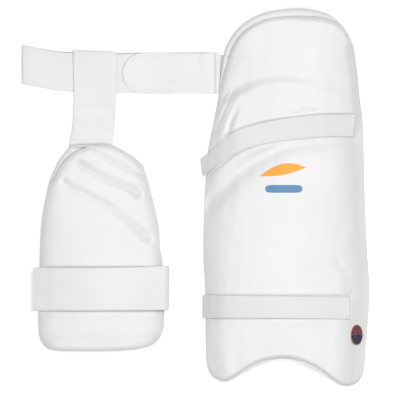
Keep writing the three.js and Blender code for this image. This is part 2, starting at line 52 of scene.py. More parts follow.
EDGE = 6.6  # padding height at its edge
OUTER_ARCH = (82.0, 35.0)  # half width and rise of the hollow
INNER_ARCH = (62.0, 15.0)
OUTER_CROWN = 62.0
INNER_CROWN = 41.0
OUTER_PAD = 27.0
INNER_PAD = 26.0
PAD_FOOT = 2.0  # underside of the padding above the arch
WEB = 1.6  # webbing thickness
TAPE = 0.8  # hook tape thickness
COVER_INSET = 0.25  # front of the padding, inside the outline
FOOT_INSET = 3.6  # its underside
LINING_INSET = 2.6
SWELL_VOXEL = 0.005  # metres, grain of the coarse cloth copy
SWELL_PRESSURE = 4.0
SWELL_FRAMES = 20
OUTER_SWELL, INNER_SWELL = 1.6, 1.4  # most that the covers may swell


# ---------- curves ----------
def smooth_line(points, steps=14):
    """Centripetal Catmull-Rom through the points, as a dense polyline."""
    p = np.array(points, float)
    first = 2 * p[0] - p[1]
    last = 2 * p[-1] - p[-2]
    p = np.vstack([first, p, last])
    out = []
    for k in range(1, len(p) - 2):
        p0, p1, p2, p3 = p[k - 1], p[k], p[k + 1], p[k + 2]
        t0 = 0.0
        t1 = t0 + np.linalg.norm(p1 - p0) ** 0.5
        t2 = t1 + np.linalg.norm(p2 - p1) ** 0.5
        t3 = t2 + np.linalg.norm(p3 - p2) ** 0.5
        t = np.linspace(t1, t2, steps, endpoint=False)[:, None]
        a1 = (t1 - t) / (t1 - t0) * p0 + (t - t0) / (t1 - t0) * p1
        a2 = (t2 - t) / (t2 - t1) * p1 + (t - t1) / (t2 - t1) * p2
        a3 = (t3 - t) / (t3 - t2) * p2 + (t - t2) / (t3 - t2) * p3
        b1 = (t2 - t) / (t2 - t0) * a1 + (t - t0) / (t2 - t0) * a2
        b2 = (t3 - t) / (t3 - t1) * a2 + (t - t1) / (t3 - t1) * a3
        out.append((t2 - t) / (t2 - t1) * b1 + (t - t1) / (t2 - t1) * b2)
    out.append(p[-2][None])
    return np.vstack(out)


def lengths(line):
    """Distance along a line at each of its points."""
    return np.concatenate([[0], np.cumsum(np.linalg.norm(np.diff(line, axis=0), axis=1))])


def sample(line, t):
    """Points at shares t of the line's length."""
    s = lengths(line)
    s /= s[-1]
    return np.stack([np.interp(t, s, line[:, k]) for k in range(line.shape[1])], axis=-1)


def near_line(x, y, line):
    """Distance to a polyline in plan, and the share of its length at the nearest point."""
    a, b = line[:-1, :2], line[1:, :2]
    d = b - a
    length = np.linalg.norm(d, axis=1)
    start = np.concatenate([[0], np.cumsum(length)])
    best = np.full(x.shape, 1e9)
    share = np.zeros(x.shape)
    for k in range(len(a)):
        t = ((x - a[k, 0]) * d[k, 0] + (y - a[k, 1]) * d[k, 1]) / max(length[k] ** 2, 1e-9)
        t = np.clip(t, 0, 1)
        dist = np.hypot(x - a[k, 0] - t * d[k, 0], y - a[k, 1] - t * d[k, 1])
        closer = dist < best
        best = np.where(closer, dist, best)
        share = np.where(closer, (start[k] + t * length[k]) / start[-1], share)
    return best, share


def nearest(x, y, *lines):
    """Distance to the nearest of the lines."""
    return np.minimum.reduce([near_line(x, y, line)[0] for line in lines])


def above_line(x, y, line):
    """True above a line that runs from left to right."""
    return y > np.interp(x, line[:, 0], line[:, 1])


def coons(bottom, top, left, right, u, v):
    """Coons patch: grid of points spanned between four edge lines."""
    b, t = sample(bottom, u), sample(top, u)
    l, r = sample(left, v), sample(right, v)
    uu, vv = u[None, :, None], v[:, None, None]
    grid = (1 - vv) * b[None] + vv * t[None] + (1 - uu) * l[:, None] + uu * r[:, None]
    grid -= (1 - uu) * (1 - vv) * b[0] + uu * (1 - vv) * b[-1]
    grid -= (1 - uu) * vv * t[0] + uu * vv * t[-1]
    return grid


def unit(vectors):
    return vectors / np.linalg.norm(vectors, axis=-1, keepdims=True)


def smoothstep(t):
    t = np.clip(t, 0, 1)
    return t * t * (3 - 2 * t)


def roll(d, width, power):
    """Rounded rise from 0 at the edge to 1 at the given distance."""
    s = np.clip(d / width, 0, 1)
    return (1 - (1 - s) ** power) ** (1 / power)


def trough(d, width):
    return np.exp(-((d / width) ** 2))


def crease(d, width):
    """Like a trough, but with straight walls and a V-shaped floor."""
    return np.clip(1 - np.sqrt(d**2 + 0.3) / width, 0, 1) ** 1.4


def arch(shape, x):
    """Height of the hollow underside."""
    half, rise = shape
    radius = (half**2 + rise**2) / (2 * rise)
    reach = np.minimum(np.abs(x), half)
    return np.sqrt(radius**2 - reach**2) - (radius - rise)


def crown(shape, top, pad, x):
    """Height of the crowned front, on the same centre as the arch."""
    half, rise = shape
    radius = (half**2 + rise**2) / (2 * rise) + pad
    return top - (radius - np.sqrt(radius**2 - np.minimum(np.abs(x), 0.95 * radius) ** 2))


def ripples(x, y, waves):
    """Sum of long soft waves: amplitude, length, direction in degrees and phase."""
    total = np.zeros(np.shape(x))
    for amplitude, length, degrees, phase in waves:
        a = math.radians(degrees)
        total += amplitude * np.sin(2 * np.pi * (x * math.cos(a) + y * math.sin(a)) / length + phase)
    return total


# ---------- meshes ----------
def new_piece(name, points, faces, uv=None):
    """Mesh from points in millimetres."""
    mesh = bpy.data.meshes.new(name)
    mesh.from_pydata((np.asarray(points, float) * MM).tolist(), [], faces)
    if uv is not None:
        layer = mesh.uv_layers.new(name="UVMap")
        loops = np.empty(len(mesh.loops), int)
        mesh.loops.foreach_get("vertex_index", loops)
        layer.data.foreach_set("uv", np.asarray(uv, float)[loops].astype(np.float32).ravel())
    mesh.polygons.foreach_set("use_smooth", [True] * len(mesh.polygons))
    mesh.update()
    piece = bpy.data.objects.new(name, mesh)
    bpy.context.scene.collection.objects.link(piece)
    return piece


def grid_faces(rows, columns, start=0, flip=False):
    j, i = np.meshgrid(np.arange(rows - 1), np.arange(columns - 1), indexing="ij")
    a = start + j * columns + i
    quad = np.stack([a, a + 1, a + columns + 1, a + columns], axis=-1).reshape(-1, 4)
    if flip:
        quad = quad[:, ::-1]
    return quad.tolist()


def closed_sheet(name, top, bottom, uv=None):
    """Closed form between two grids of points, both rows x columns x 3."""
    rows, columns = top.shape[:2]
    count = rows * columns
    points = np.vstack([top.reshape(-1, 3), bottom.reshape(-1, 3)])
    faces = grid_faces(rows, columns) + grid_faces(rows, columns, count, flip=True)
    ring = list(range(columns - 1))
    ring += [j * columns + columns - 1 for j in range(rows - 1)]
    ring += [(rows - 1) * columns + i for i in range(columns - 1, 0, -1)]
    ring += [j * columns for j in range(rows - 1, 0, -1)]
    for k, a in enumerate(ring):
        b = ring[(k + 1) % len(ring)]
        faces.append([a, a + count, b + count, b])
    return new_piece(name, points, faces, uv)


def loft(name, sections, closed):
    """Skin over equal cross-sections (n x m x 3); open lofts get flat ends."""
    sections = np.asarray(sections, float)
    n, m = sections.shape[:2]
    faces = []
    for k in range(n if closed else n - 1):
        k2 = (k + 1) % n
        for c in range(m):
            c2 = (c + 1) % m
            faces.append([k * m + c, k2 * m + c, k2 * m + c2, k * m + c2])
    if not closed:
        faces.append(list(range(m)))
        faces.append([(n - 1) * m + c for c in range(m - 1, -1, -1)])
    return new_piece(name, sections.reshape(-1, 3), faces)


def fix_normals(piece):
    work = bmesh.new()
    work.from_mesh(piece.data)
    bmesh.ops.recalc_face_normals(work, faces=work.faces)
    work.to_mesh(piece.data)
    work.free()
    return piece


def strip(name, left, right, thickness, across=12, relief=None, round_power=6):
    """Webbing between two edge lines (n x 3, millimetres), with soft edges and UVs in metres.
    relief(s, q) in millimetres lifts the face at length s and share q of the width."""
    left, right = np.asarray(left, float), np.asarray(right, float)
    centre = (left + right) / 2
    s = lengths(centre)
    normal = unit(np.cross(np.gradient(centre, axis=0), right - left))
    width = np.linalg.norm(right - left, axis=1)
    q = (1 - np.cos(np.linspace(0, np.pi, across))) / 2
    q = 0.35 * q + 0.65 * np.linspace(0, 1, across)
    base = left[:, None] * (1 - q)[None, :, None] + right[:, None] * q[None, :, None]
    lift = np.zeros((len(s), across)) if relief is None else relief(s[:, None], q[None, :])
    half = thickness / 2 * (1 - 0.72 * np.abs(2 * q - 1) ** round_power)
    upper = base + normal[:, None] * (lift + half[None])[..., None]
    lower = base + normal[:, None] * (lift - half[None])[..., None]
    rows, columns = upper.shape[:2]
    uv = np.stack([np.broadcast_to(s[:, None], (rows, columns)), (q[None] - 0.5) * width[:, None]], axis=-1)
    uv = np.vstack([uv.reshape(-1, 2), uv.reshape(-1, 2)]) * MM
    piece = fix_normals(closed_sheet(name, upper, lower, uv))
    harden_ends(piece, rows, columns)
    return piece


def harden_ends(piece, rows, columns):
    """Sharp edges round both end faces, so that pieces that abut shade as one."""
    count = rows * columns
    ends = [set(range(columns)), set(range((rows - 1) * columns, count))]
    ends = [e | {i + count for i in e} for e in ends]
    for edge in piece.data.edges:
        a, b = edge.vertices
        if any(a in e and b in e for e in ends):
            edge.use_edge_sharp = True


def stitches(name, lines, pitch=3.2, length=2.1, radius=0.32):
    """Thread stitches along polylines (n x 3): small rounded capsules, one mesh."""
    points, faces = [], []
    sides, rings = 6, ((-0.5, 0.25), (-0.38, 0.85), (0, 1.0), (0.38, 0.85), (0.5, 0.25))
    for line in lines:
        line = np.asarray(line, float)
        total = np.linalg.norm(np.diff(line, axis=0), axis=1).sum()
        count = max(int(total / pitch), 1)
        t = (np.arange(count) + 0.5) / count
        spots = sample(line, t)
        ahead = sample(line, np.clip(t + 0.3 / count, 0, 1)) - sample(line, np.clip(t - 0.3 / count, 0, 1))
        for centre, direction in zip(spots, ahead):
            direction = direction / max(np.linalg.norm(direction), 1e-9)
            side = np.cross(direction, [0.0, 0.0, 1.0])
            side /= max(np.linalg.norm(side), 1e-9)
            up = np.cross(side, direction)
            base = len(points)
            for offset, size in rings:
                for k in range(sides):
                    a = 2 * math.pi * k / sides
                    around = math.cos(a) * side + 0.8 * math.sin(a) * up
                    points.append(centre + direction * offset * length + around * radius * size)
            for r in range(len(rings) - 1):
                for k in range(sides):
                    k2 = (k + 1) % sides
                    faces.append([base + r * sides + k, base + (r + 1) * sides + k,
                                  base + (r + 1) * sides + k2, base + r * sides + k2])
            faces.append([base + k for k in range(sides)])
            faces.append([base + (len(rings) - 1) * sides + k for k in range(sides - 1, -1, -1)])
    return fix_normals(new_piece(name, points, faces))


# ---------- materials ----------
def fabric(name, colour, weave=1.1, kind="jersey", bump=0.5, rough=0.9, sheen=0.25, tint=0.025, by_uv=False,
           crease_shade=0.0):
    """Cloth with a fine weave relief, and painted shade that darkens the hollows of the form by their pointiness."""
    material = bpy.data.materials.new(name)
    material.use_nodes = True
    nodes, links = material.node_tree.nodes, material.node_tree.links

    def feed(socket, value):
        if isinstance(value, bpy.types.NodeSocket):
            links.new(value, socket)
        else:
            socket.default_value = value

    def add(node_type, **inputs):
        node = nodes.new("ShaderNode" + node_type)
        for label, value in inputs.items():
            feed(node.inputs[label.replace("_", " ")], value)
        return node

    def combine(operation, *values):
        node = add("Math")
        node.operation = operation
        for socket, value in zip(node.inputs, values):
            feed(socket, value)
        return node.outputs[0]

    shader = nodes["Principled BSDF"]
    shader.inputs["Roughness"].default_value = rough
    shader.inputs["Sheen Weight"].default_value = sheen
    shader.inputs["Sheen Roughness"].default_value = 0.5
    shader.inputs["Specular IOR Level"].default_value = 0.25
    coords = add("TexCoord")
    place, source = coords.outputs["Object"], coords.outputs["UV" if by_uv else "Object"]

    # slow colour drift and soft soiling
    drift = add("TexNoise", Scale=16.0, Detail=4.0, Vector=place).outputs["Fac"]
    fleck = add("TexNoise", Scale=900.0, Detail=2.0, Vector=place).outputs["Fac"]
    ramp = add("ValToRGB", Fac=combine("MULTIPLY_ADD", fleck, 0.45, drift))
    dark = [max(c * (1 - 2.2 * tint), 0) for c in colour]
    light = [min(c * (1 + tint), 1) for c in colour]
    for stop, position, shade in zip(ramp.color_ramp.elements, (0.35, 0.95), (dark, light)):
        stop.position = position
        stop.color = (*shade, 1)

    # weave relief
    period = weave * MM
    wave_scale = 2 * math.pi / (20 * period)

    def bands(direction, scale, twist=0.0):
        wave = add("TexWave", Scale=scale, Distortion=twist, Detail=1.0, Detail_Scale=2.0, Vector=source)
        wave.wave_type = "BANDS"
        wave.bands_direction = direction
        return wave.outputs["Fac"]

    if kind == "mesh":
        cells = add("TexVoronoi", Scale=1 / (period * 1.6), Randomness=0.15, Vector=source)
        relief = combine("MINIMUM", combine("MULTIPLY", cells.outputs["Distance"], 1.8), 0.8)
    elif kind == "webbing":
        ribs, picks = bands("Y", wave_scale * 0.8), bands("X", wave_scale * 1.5, 0.6)
        relief = combine("ADD", combine("MULTIPLY", ribs, 0.65), combine("MULTIPLY", picks, 0.5))
    elif kind == "hook":
        relief = combine("POWER", combine("MULTIPLY", bands("X", wave_scale), bands("Y", wave_scale)), 1.5)
    else:
        wales, courses = bands("X", wave_scale, 0.5), bands("Y", wave_scale * 1.4, 0.5)
        relief = combine("ADD", combine("MULTIPLY", wales, 0.5), combine("MULTIPLY", courses, 0.5))
    relief = combine("ADD", relief, combine("MULTIPLY", fleck, 0.5))
    feed(shader.inputs["Normal"], add("Bump", Strength=bump, Distance=0.0002, Height=relief).outputs["Normal"])

    # thread gaps are a touch darker than the threads
    shade = combine("MULTIPLY_ADD", relief, 0.05, 0.955)
    # painted shade: concave creases, found by the mesh's pointiness, are darkened in the base colour
    if crease_shade:
        pointed = add("NewGeometry").outputs["Pointiness"]
        hollow = add("MapRange", Value=pointed, From_Min=0.42, From_Max=0.495, To_Min=1 - crease_shade, To_Max=1.0)
        shade = combine("MULTIPLY", shade, hollow.outputs["Result"])
    tone = add("VectorMath")
    tone.operation = "SCALE"
    feed(tone.inputs[0], ramp.outputs["Color"])
    feed(tone.inputs["Scale"], shade)
    feed(shader.inputs["Base Color"], tone.outputs["Vector"])
    return material


def dress(piece, material, slot_name, *nodes):
    """The piece's material, and the CAD nodes that it stands for, which are hidden; slot_name is not used."""
    piece.data.materials.clear()
    piece.data.materials.append(material)
    if nodes:
        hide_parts(*nodes)
    return piece


WHITE = (0.72, 0.72, 0.722)
# the front jersey carries painted shade in its creases
jersey = fabric("front_jersey", WHITE, weave=0.9, bump=0.35, crease_shade=0.29)
rim_cloth = fabric("rim_cloth", (0.665, 0.665, 0.667), weave=0.8, bump=0.4)
edge_cloth = fabric("edge_cloth", (0.70, 0.70, 0.702), weave=0.8, bump=0.4)
leg_elastic = fabric(
    "leg_elastic", (0.655, 0.655, 0.658), weave=1.3, kind="webbing", bump=0.35, by_uv=True)
elastic = fabric("elastic_webbing", (0.69, 0.69, 0.692), weave=1.3, kind="webbing", bump=0.35, by_uv=True)
tab_cloth = fabric("tab_cloth", (0.70, 0.70, 0.702), weave=1.1, kind="webbing", bump=0.3, by_uv=True)
hook_tape = fabric(
    "hook_tape", (0.66, 0.66, 0.66), weave=1.6, kind="hook", bump=0.9, rough=0.6, sheen=0.0, by_uv=True)
lining = fabric("leg_side_lining", (0.66, 0.663, 0.668), weave=2.0, kind="mesh", bump=0.8)
thread = fabric("thread", (0.72, 0.72, 0.722), weave=0.4, bump=0.3, sheen=0.1)
print_orange = fabric("print_orange", (0.92, 0.36, 0.05), weave=0.9, bump=0.25, rough=0.6, sheen=0.05, tint=0.05)
print_blue = fabric("print_blue", (0.10, 0.24, 0.42), weave=0.9, bump=0.25, rough=0.6, sheen=0.05, tint=0.05)
badge_navy = fabric("badge_navy", (0.012, 0.016, 0.05), weave=0.7, bump=0.3, rough=0.45, sheen=0.0, tint=0.1)
badge_maroon = fabric("badge_maroon", (0.16, 0.03, 0.05), weave=0.7, bump=0.3, rough=0.45, sheen=0.0, tint=0.1)
badge_rim_cloth = fabric("badge_rim", (0.35, 0.15, 0.05), weave=0.7, bump=0.3, rough=0.5, sheen=0.0, tint=0.1)

# ---------- outer guard: plan ----------
bottom_edge = smooth_line([
    (-89, -208), (-85.8, -212.2), (-81, -215.6), (-75.5, -217.6), (-70, -218), (-61, -214.5), (-50, -208),
    (-35, -200), (-20, -194), (-4, -191), (11, -193), (27, -200), (42, -208), (58, -218), (64, -221.4),
    (70, -223), (76.5, -222.9), (82, -221), (87.5, -216.8), (91, -211.5)])
left_edge = smooth_line([
    (-89, -208), (-91.3, -202.6), (-92.8, -195), (-93.6, -177), (-94.4, -113), (-96.4, -69), (-96, -14)])
left_edge_mid = smooth_line([(-96, -14), (-94, 18), (-91, 55), (-86, 80), (-79, 115)])
left_edge_hip = smooth_line([(-79, 115), (-77, 140), (-74, 161)])
right_edge = smooth_line([
    (91, -211.5), (92.8, -203), (94, -188), (96, -162), (99, -112), (96, -60), (93.5, 0), (92, 70)])
right_edge_mid = smooth_line([(92, 70), (91, 89), (88, 114)])
right_edge_hip = smooth_line([(88, 114), (85, 145), (81, 175)])
top_edge = smooth_line([
    (-74, 161), (-70.6, 174.5), (-63.5, 188), (-55, 198.6), (-45, 206.6), (-35, 212.4), (-21, 217.2), (-6, 220),
    (12, 221.6), (24, 221.1), (38, 218.6), (52, 213.6), (64.5, 204), (74.4, 190.4), (81, 175)])
lower_groove = smooth_line([(-96, -14), (-73.5, 9), (-55, 29), (-26, 49), (9, 63), (45, 68), (92, 70)])
upper_groove = smooth_line([(-79, 115), (-57, 129), (-32, 140), (-3, 144), (35, 139), (74, 125), (88, 114)])
left_side = np.vstack([left_edge, left_edge_mid, left_edge_hip])
right_side = np.vstack([right_edge, right_edge_mid, right_edge_hip])

# front panel of the hip flap ends here; the back layer shows outside it as a padded rim
panel_edge = smooth_line([
    (-78, 112), (-73.5, 143), (-70, 152), (-65, 169), (-55, 187.5), (-41, 200), (-21, 209), (2, 212.5),
    (24, 213), (42, 212), (59.5, 206), (69.5, 198), (77, 184), (83, 163)])
wing_streak = smooth_line([(-57, 129), (-65, 117), (-71, 103), (-78, 88), (-85, 75), (-88.5, 61)])
block_side = smooth_line([(-56, 112), (-59, 100), (-64, 89), (-68, 73), (-74, 60)])
short_crease = smooth_line([(9, 98.5), (24, 104), (35, 103)])
wing_dent = smooth_line([(62, -78), (73, -93), (78, -116)])

# the two leg straps in plan: low and high edges from left to right
LOWER_Y = -130.0
strap_low = smooth_line([
    (-95.6, 23.5), (-88.5, 31.5), (-80, 38.5), (-69, 46), (-60, 50.5), (-48, 56), (-26, 62), (9, 67),
    (45, 70.5), (79.5, 71)])
strap_high = smooth_line([
    (-98.4, 45.2), (-91, 51), (-83.5, 57.5), (-75, 65.5), (-66, 73), (-54, 79), (-41, 83), (-12, 90),
    (16.5, 94), (45, 96.5), (82, 97)])
strap_middle = (sample(strap_low, np.linspace(0, 1, 60)) + sample(strap_high, np.linspace(0, 1, 60))) / 2


def outer_front(x, y, pressed=True):
    """Height of the outer guard's front at local x, y, in millimetres."""
    x, y = np.asarray(x, float), np.asarray(y, float)
    low = arch(OUTER_ARCH, x) + EDGE
    full = crown(OUTER_ARCH, OUTER_CROWN, OUTER_PAD, x)
    d_left, d_right, d_bottom = (nearest(x, y, line) for line in (left_side, right_side, bottom_edge))
    d_panel, along_panel = near_line(x, y, panel_edge)
    share = roll(d_left, 30, 2.5)
    wing = 40 - 27 * smoothstep((y - 60) / 40)
    share = share * (1 - (1 - np.clip(d_right / wing, 0, 1)) ** 2.4)
    flank = np.maximum(trough(x - 32, 22), trough(x + 38, 22))
    ledge = 1.0 + 2.2 * flank  # the back layer shows below the front edge, most on both sides of the hollow
    share_low = 0.10 * roll(d_bottom, 1.5, 2) + 0.62 * roll(d_bottom - ledge, 4.5, 2.0)
    share = share * (share_low + 0.28 * smoothstep((d_bottom + 4) / 60))
    # the hip panel rises steeply inside its padded rim
    corner = trough(along_panel - 0.70, 0.13)
    lip = (0.86 + 0.14 * smoothstep(d_panel / 55)) * roll(d_panel, 6 + 1.5 * corner, 2.6 - 1.1 * corner)
    lip = np.where(in_panel(x, y), lip, 0.0)
    top = smoothstep((y - 118) / 14)
    share = share * (lip * top + 1 - top)
    z = low + (full - low) * share

    lift = np.clip(share * 1.4, 0, 1)
    d, t = near_line(x, y, upper_groove)
    side = np.where(above_line(x, y, upper_groove), 1.0, 0.8)
    depth = 8.5 - 4.5 * smoothstep((t - 0.12) / 0.22) - 2.2 * smoothstep((t - 0.45) / 0.3)
    z -= lift * depth * trough(d, (10.0 + 1.0 * t) * side)
    z += lift * 1.6 * trough(d - 11, 5.0) * (1 - above_line(x, y, upper_groove)) * smoothstep((0.8 - t) / 0.3)
    d, t = near_line(x, y, lower_groove)
    above = above_line(x, y, lower_groove)
    z -= lift * (10.8 - 4.2 * t) * trough(d, np.where(above, 8.0, 11.5))
    for line, depth, width, ease_in, ease_out in (
            (wing_streak, 4.6, 3.0, 6, 4), (wing_streak + [-5.5, 1.5], 2.0, 2.2, 5, 4),
            (wing_streak + [5.0, -1.0], 1.6, 2.0, 5, 4), (block_side, 5.0, 3.6, 3, 3)):
        d, t = near_line(x, y, line)
        z -= lift * depth * trough(d, width) * smoothstep(t * ease_in) * smoothstep((1 - t) * ease_out)
    z -= 1.4 * trough(nearest(x, y, short_crease), 2.6)
    z -= lift * 2.2 * trough(nearest(x, y, wing_dent), 6.0)
    z += lift * ripples(x, y, [
        (0.24, 61, 12, 0.3), (0.18, 43, 78, 1.1), (0.13, 29, 140, 2.0), (0.10, 19, 35, 0.8), (0.20, 26, 4, 2.2),
        (0.12, 15, -7, 0.1)])
    low_left = smoothstep((-140 - y) / 40) * smoothstep((-20 - x) / 50)
    z += lift * low_left * 0.9 * np.sin((x + 0.25 * y) / 5.2)
    if pressed:
        d = nearest(x, y, strap_middle)
        z -= lift * (2.4 * smoothstep((14.6 - d) / 2.0) - 0.7 * trough(d - 18.0, 3.4))
        d = np.where(x < 77, np.abs(y - LOWER_Y), 40.0)
        z -= lift * (2.4 * smoothstep((14.8 - d) / 2.0) - 0.9 * trough(d - 18.0, 3.4))
    return z


def in_panel(x, y):
    """Inside the hip panel's front edge."""
    shape = np.vstack([panel_edge, [(83, 100)], [(-78, 100)]])
    inside = np.zeros(np.shape(x), bool)
    for k in range(len(shape)):
        (x1, y1), (x2, y2) = shape[k], shape[(k + 1) % len(shape)]
        crosses = (y1 > y) != (y2 > y)
        with np.errstate(divide="ignore", invalid="ignore"):
            at = (x2 - x1) * (y - y1) / (y2 - y1 if y2 != y1 else 1e-9) + x1
        inside ^= crosses & (x < at)
    return inside


def edge_dense(n, amount=0.55):
    t = np.linspace(0, 1, n)
    return t - amount * np.sin(2 * np.pi * t) / (2 * np.pi)


def outer_grid(columns, rows):
    u = edge_dense(columns)
    v = [np.linspace(0, 1, n) for n in rows]
    v[0] = edge_dense(rows[0], 0.35)
    main = coons(bottom_edge, lower_groove, left_edge, right_edge, u, v[0])
    mid = coons(lower_groove, upper_groove, left_edge_mid, right_edge_mid, u, v[1])
    hip = coons(upper_groove, top_edge, left_edge_hip, right_edge_hip, u, v[2])
    return np.concatenate([main, mid[1:], hip[1:]])


def lifted(plan, z, centre):
    return np.stack([plan[..., 0] + centre, plan[..., 1], z], axis=-1)


def shrunk(plan, inset):
    """The plan drawn in towards its middle by the inset on every side."""
    low, high = plan.reshape(-1, 2).min(0), plan.reshape(-1, 2).max(0)
    middle, half = (low + high) / 2, (high - low) / 2
    return middle + (plan - middle) * (1 - inset / half)


def guard_padding(name, plan, front, arch_shape, centre):
    inset = shrunk(plan, COVER_INSET)
    top = lifted(inset, front(inset[..., 0], inset[..., 1]), centre)
    inset = shrunk(plan, FOOT_INSET)
    bottom = lifted(inset, arch(arch_shape, inset[..., 0]) + PAD_FOOT, centre)
    return closed_sheet(name, top, bottom)


def guard_lining(name, plan, arch_shape, centre, quilt):
    inset = shrunk(plan, LINING_INSET)
    foot = arch(arch_shape, inset[..., 0])
    under = foot + 0.15 + quilt(inset[..., 0], inset[..., 1])
    top = lifted(inset, foot + PAD_FOOT - 0.1, centre)
    return closed_sheet(name, top, lifted(inset, under, centre))


def inward_of(outline):
    """Unit vectors that point into a closed outline."""
    ahead = np.roll(outline, -1, axis=0) - np.roll(outline, 1, axis=0)
    return unit(np.stack([-ahead[:, 1], ahead[:, 0]], axis=-1))


def rim_binding(name, outline, arch_shape, centre, section):
    """Band round the edge; section points are (inward, height)."""
    inward, foot = inward_of(outline), arch(arch_shape, outline[:, 0])
    rings = [lifted(outline + inward * d, foot + h, centre) for d, h in section]
    return fix_normals(loft(name, np.stack(rings, axis=1), True))


EDGE_SECTION = [(3.2, 0.25), (1.4, 0.05), (0.55, 0.5), (0.2, 1.4), (0.05, 3.0), (0.15, 4.8), (0.6, 6.0), (1.6, 6.5),
                (2.8, 6.2), (3.4, 4.4)]


def vertex_rows(mesh, what):
    flat = np.empty(len(mesh.vertices) * 3)
    mesh.vertices.foreach_get(what, flat)
    return flat.reshape(-1, 3)


def swell(piece, hold, cap):
    """Blow the padding's cover up a little with a cloth simulation on a coarse copy.
    hold(x, y) is 1 where the cover is sewn, strapped or printed down; cap is in millimetres."""
    scene = bpy.context.scene
    copy = bpy.data.objects.new(piece.name + "_coarse", piece.data.copy())
    scene.collection.objects.link(copy)
    remesh = copy.modifiers.new("remesh", "REMESH")
    remesh.mode = "VOXEL"
    remesh.voxel_size = SWELL_VOXEL
    graph = bpy.context.evaluated_depsgraph_get()
    coarse = bpy.data.meshes.new_from_object(copy.evaluated_get(graph))
    copy.modifiers.clear()
    copy.data = coarse
    before, up = vertex_rows(coarse, "co"), vertex_rows(coarse, "normal")[:, 2]
    held = np.maximum(hold(before[:, 0] / MM, before[:, 1] / MM), (up < 0.25).astype(float))
    group = copy.vertex_groups.new(name="held")
    for index, weight in enumerate(held):
        group.add([index], float(weight), "REPLACE")
    cloth = copy.modifiers.new("cloth", "CLOTH")
    cloth.settings.vertex_group_mass = "held"
    cloth.settings.use_pressure = True
    cloth.settings.uniform_pressure_force = SWELL_PRESSURE
    cloth.settings.effector_weights.gravity = 0.0
    cloth.settings.quality = 4
    cloth.settings.bending_stiffness = 0.2
    cloth.point_cache.frame_start = 1
    cloth.point_cache.frame_end = SWELL_FRAMES
    for number in range(1, SWELL_FRAMES + 1):
        scene.frame_set(number)
    graph = bpy.context.evaluated_depsgraph_get()
    result = bpy.data.meshes.new_from_object(copy.evaluated_get(graph))
    moved = (vertex_rows(result, "co") - before) / MM
    scene.frame_set(1)
    bpy.data.objects.remove(copy)
    size = np.linalg.norm(moved, axis=1)
    moved *= (cap * np.tanh(size / cap) / np.maximum(size, 1e-6))[:, None]
    tree = kdtree.KDTree(len(before))
    for index, place in enumerate(before):
        tree.insert(place, index)
    tree.balance()
    fine = vertex_rows(piece.data, "co")
    free = 1 - hold(fine[:, 0] / MM, fine[:, 1] / MM)
    for index in np.nonzero((free > 0.01) & (np.arange(len(fine)) < len(fine) // 2))[0]:
        found = tree.find_n(fine[index], 7)
        weight = np.array([1 / (f[2] + 0.0015) ** 2 for f in found])
        pull = (moved[[f[1] for f in found]] * weight[:, None]).sum(0) / weight.sum()
        fine[index] += pull * free[index] * MM
    piece.data.vertices.foreach_set("co", fine.ravel())
    piece.data.update()
    return piece


def ellipse(x, y, cx, cy, rx, ry, soft=6.0):
    reach = np.sqrt(((x - cx) / rx) ** 2 + ((y - cy) / ry) ** 2)
    return smoothstep((1 - reach) * min(rx, ry) / soft + 1)


def held_near(*zones):
    """1 within reach of any zone (distance, reach, fade), falling to 0 over its fade."""
    return np.maximum.reduce([1 - smoothstep((d - reach) / fade) for d, reach, fade in zones])


def outer_hold(row_x, y):
    """Where the cover of the outer guard can't swell."""
    x = row_x - OUTER_X
    held = held_near(
        (nearest(x, y, left_side, right_side, bottom_edge, panel_edge), 4, 9), (nearest(x, y, upper_groove), 7, 6),
        (nearest(x, y, lower_groove), 8, 6), (nearest(x, y, wing_streak), 6, 6), (nearest(x, y, block_side), 5, 6),
        (nearest(x, y, strap_middle), 15, 7), (np.abs(y - LOWER_Y), 15, 7))
    for spot in ((-3, 31, 30, 12), (-2, 9, 25, 7), (83, -163, 16, 16)):
        held = np.maximum(held, ellipse(x, y, *spot))
    return held


# ---------- outer guard ----------
OUTER_COLUMNS, OUTER_ROWS = 190, (250, 84, 90)


def bend_hip(piece):
    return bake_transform(piece)


outer_plan = outer_grid(OUTER_COLUMNS, OUTER_ROWS)
outer_pad = guard_padding("outer_padding", outer_plan, outer_front, OUTER_ARCH, OUTER_X)
swell(outer_pad, outer_hold, OUTER_SWELL)
dress(outer_pad, jersey, "front_fabric")
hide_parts("thigh_cover", "hip_cover", "thigh_base_foam", "hip_base_foam", "main_foam_block",
            "mid_foam_block", "left_wing_foam", "right_wing_foam", "hip_foam_block")
bend_hip(outer_pad)


def quilt(seams, depth, pucker, length_y, length_x):
    """Relief of a lining sewn down along seams at the given x."""
    def relief(x, y):
        rows = sum(trough(np.abs(x - c), 1.6) for c in seams)
        return depth * np.clip(rows, 0, 1) + pucker * np.sin(y / length_y) * np.cos(x / length_x)
    return relief


outer_quilt = quilt((-66, -33, 0, 33, 66), 0.9, 0.15, 9.0, 13.0)
outer_lining = guard_lining("outer_lining", outer_grid(110, (120, 40, 44)), OUTER_ARCH, OUTER_X, outer_quilt)
dress(outer_lining, lining, "liner", "thigh_liner", "hip_liner")
bend_hip(outer_lining)

outer_outline = np.vstack([
    bottom_edge[:-1], right_edge[:-1], right_edge_mid[:-1], right_edge_hip[:-1], top_edge[::-1][:-1],
    left_edge_hip[::-1][:-1], left_edge_mid[::-1][:-1], left_edge[::-1][:-1]])
outer_outline = sample(np.vstack([outer_outline, outer_outline[:1]]), np.linspace(0, 1, 520, endpoint=False))
outer_binding = rim_binding("outer_binding", outer_outline, OUTER_ARCH, OUTER_X, EDGE_SECTION)
dress(outer_binding, edge_cloth, "binding", "thigh_binding", "hip_binding")
bend_hip(outer_binding)


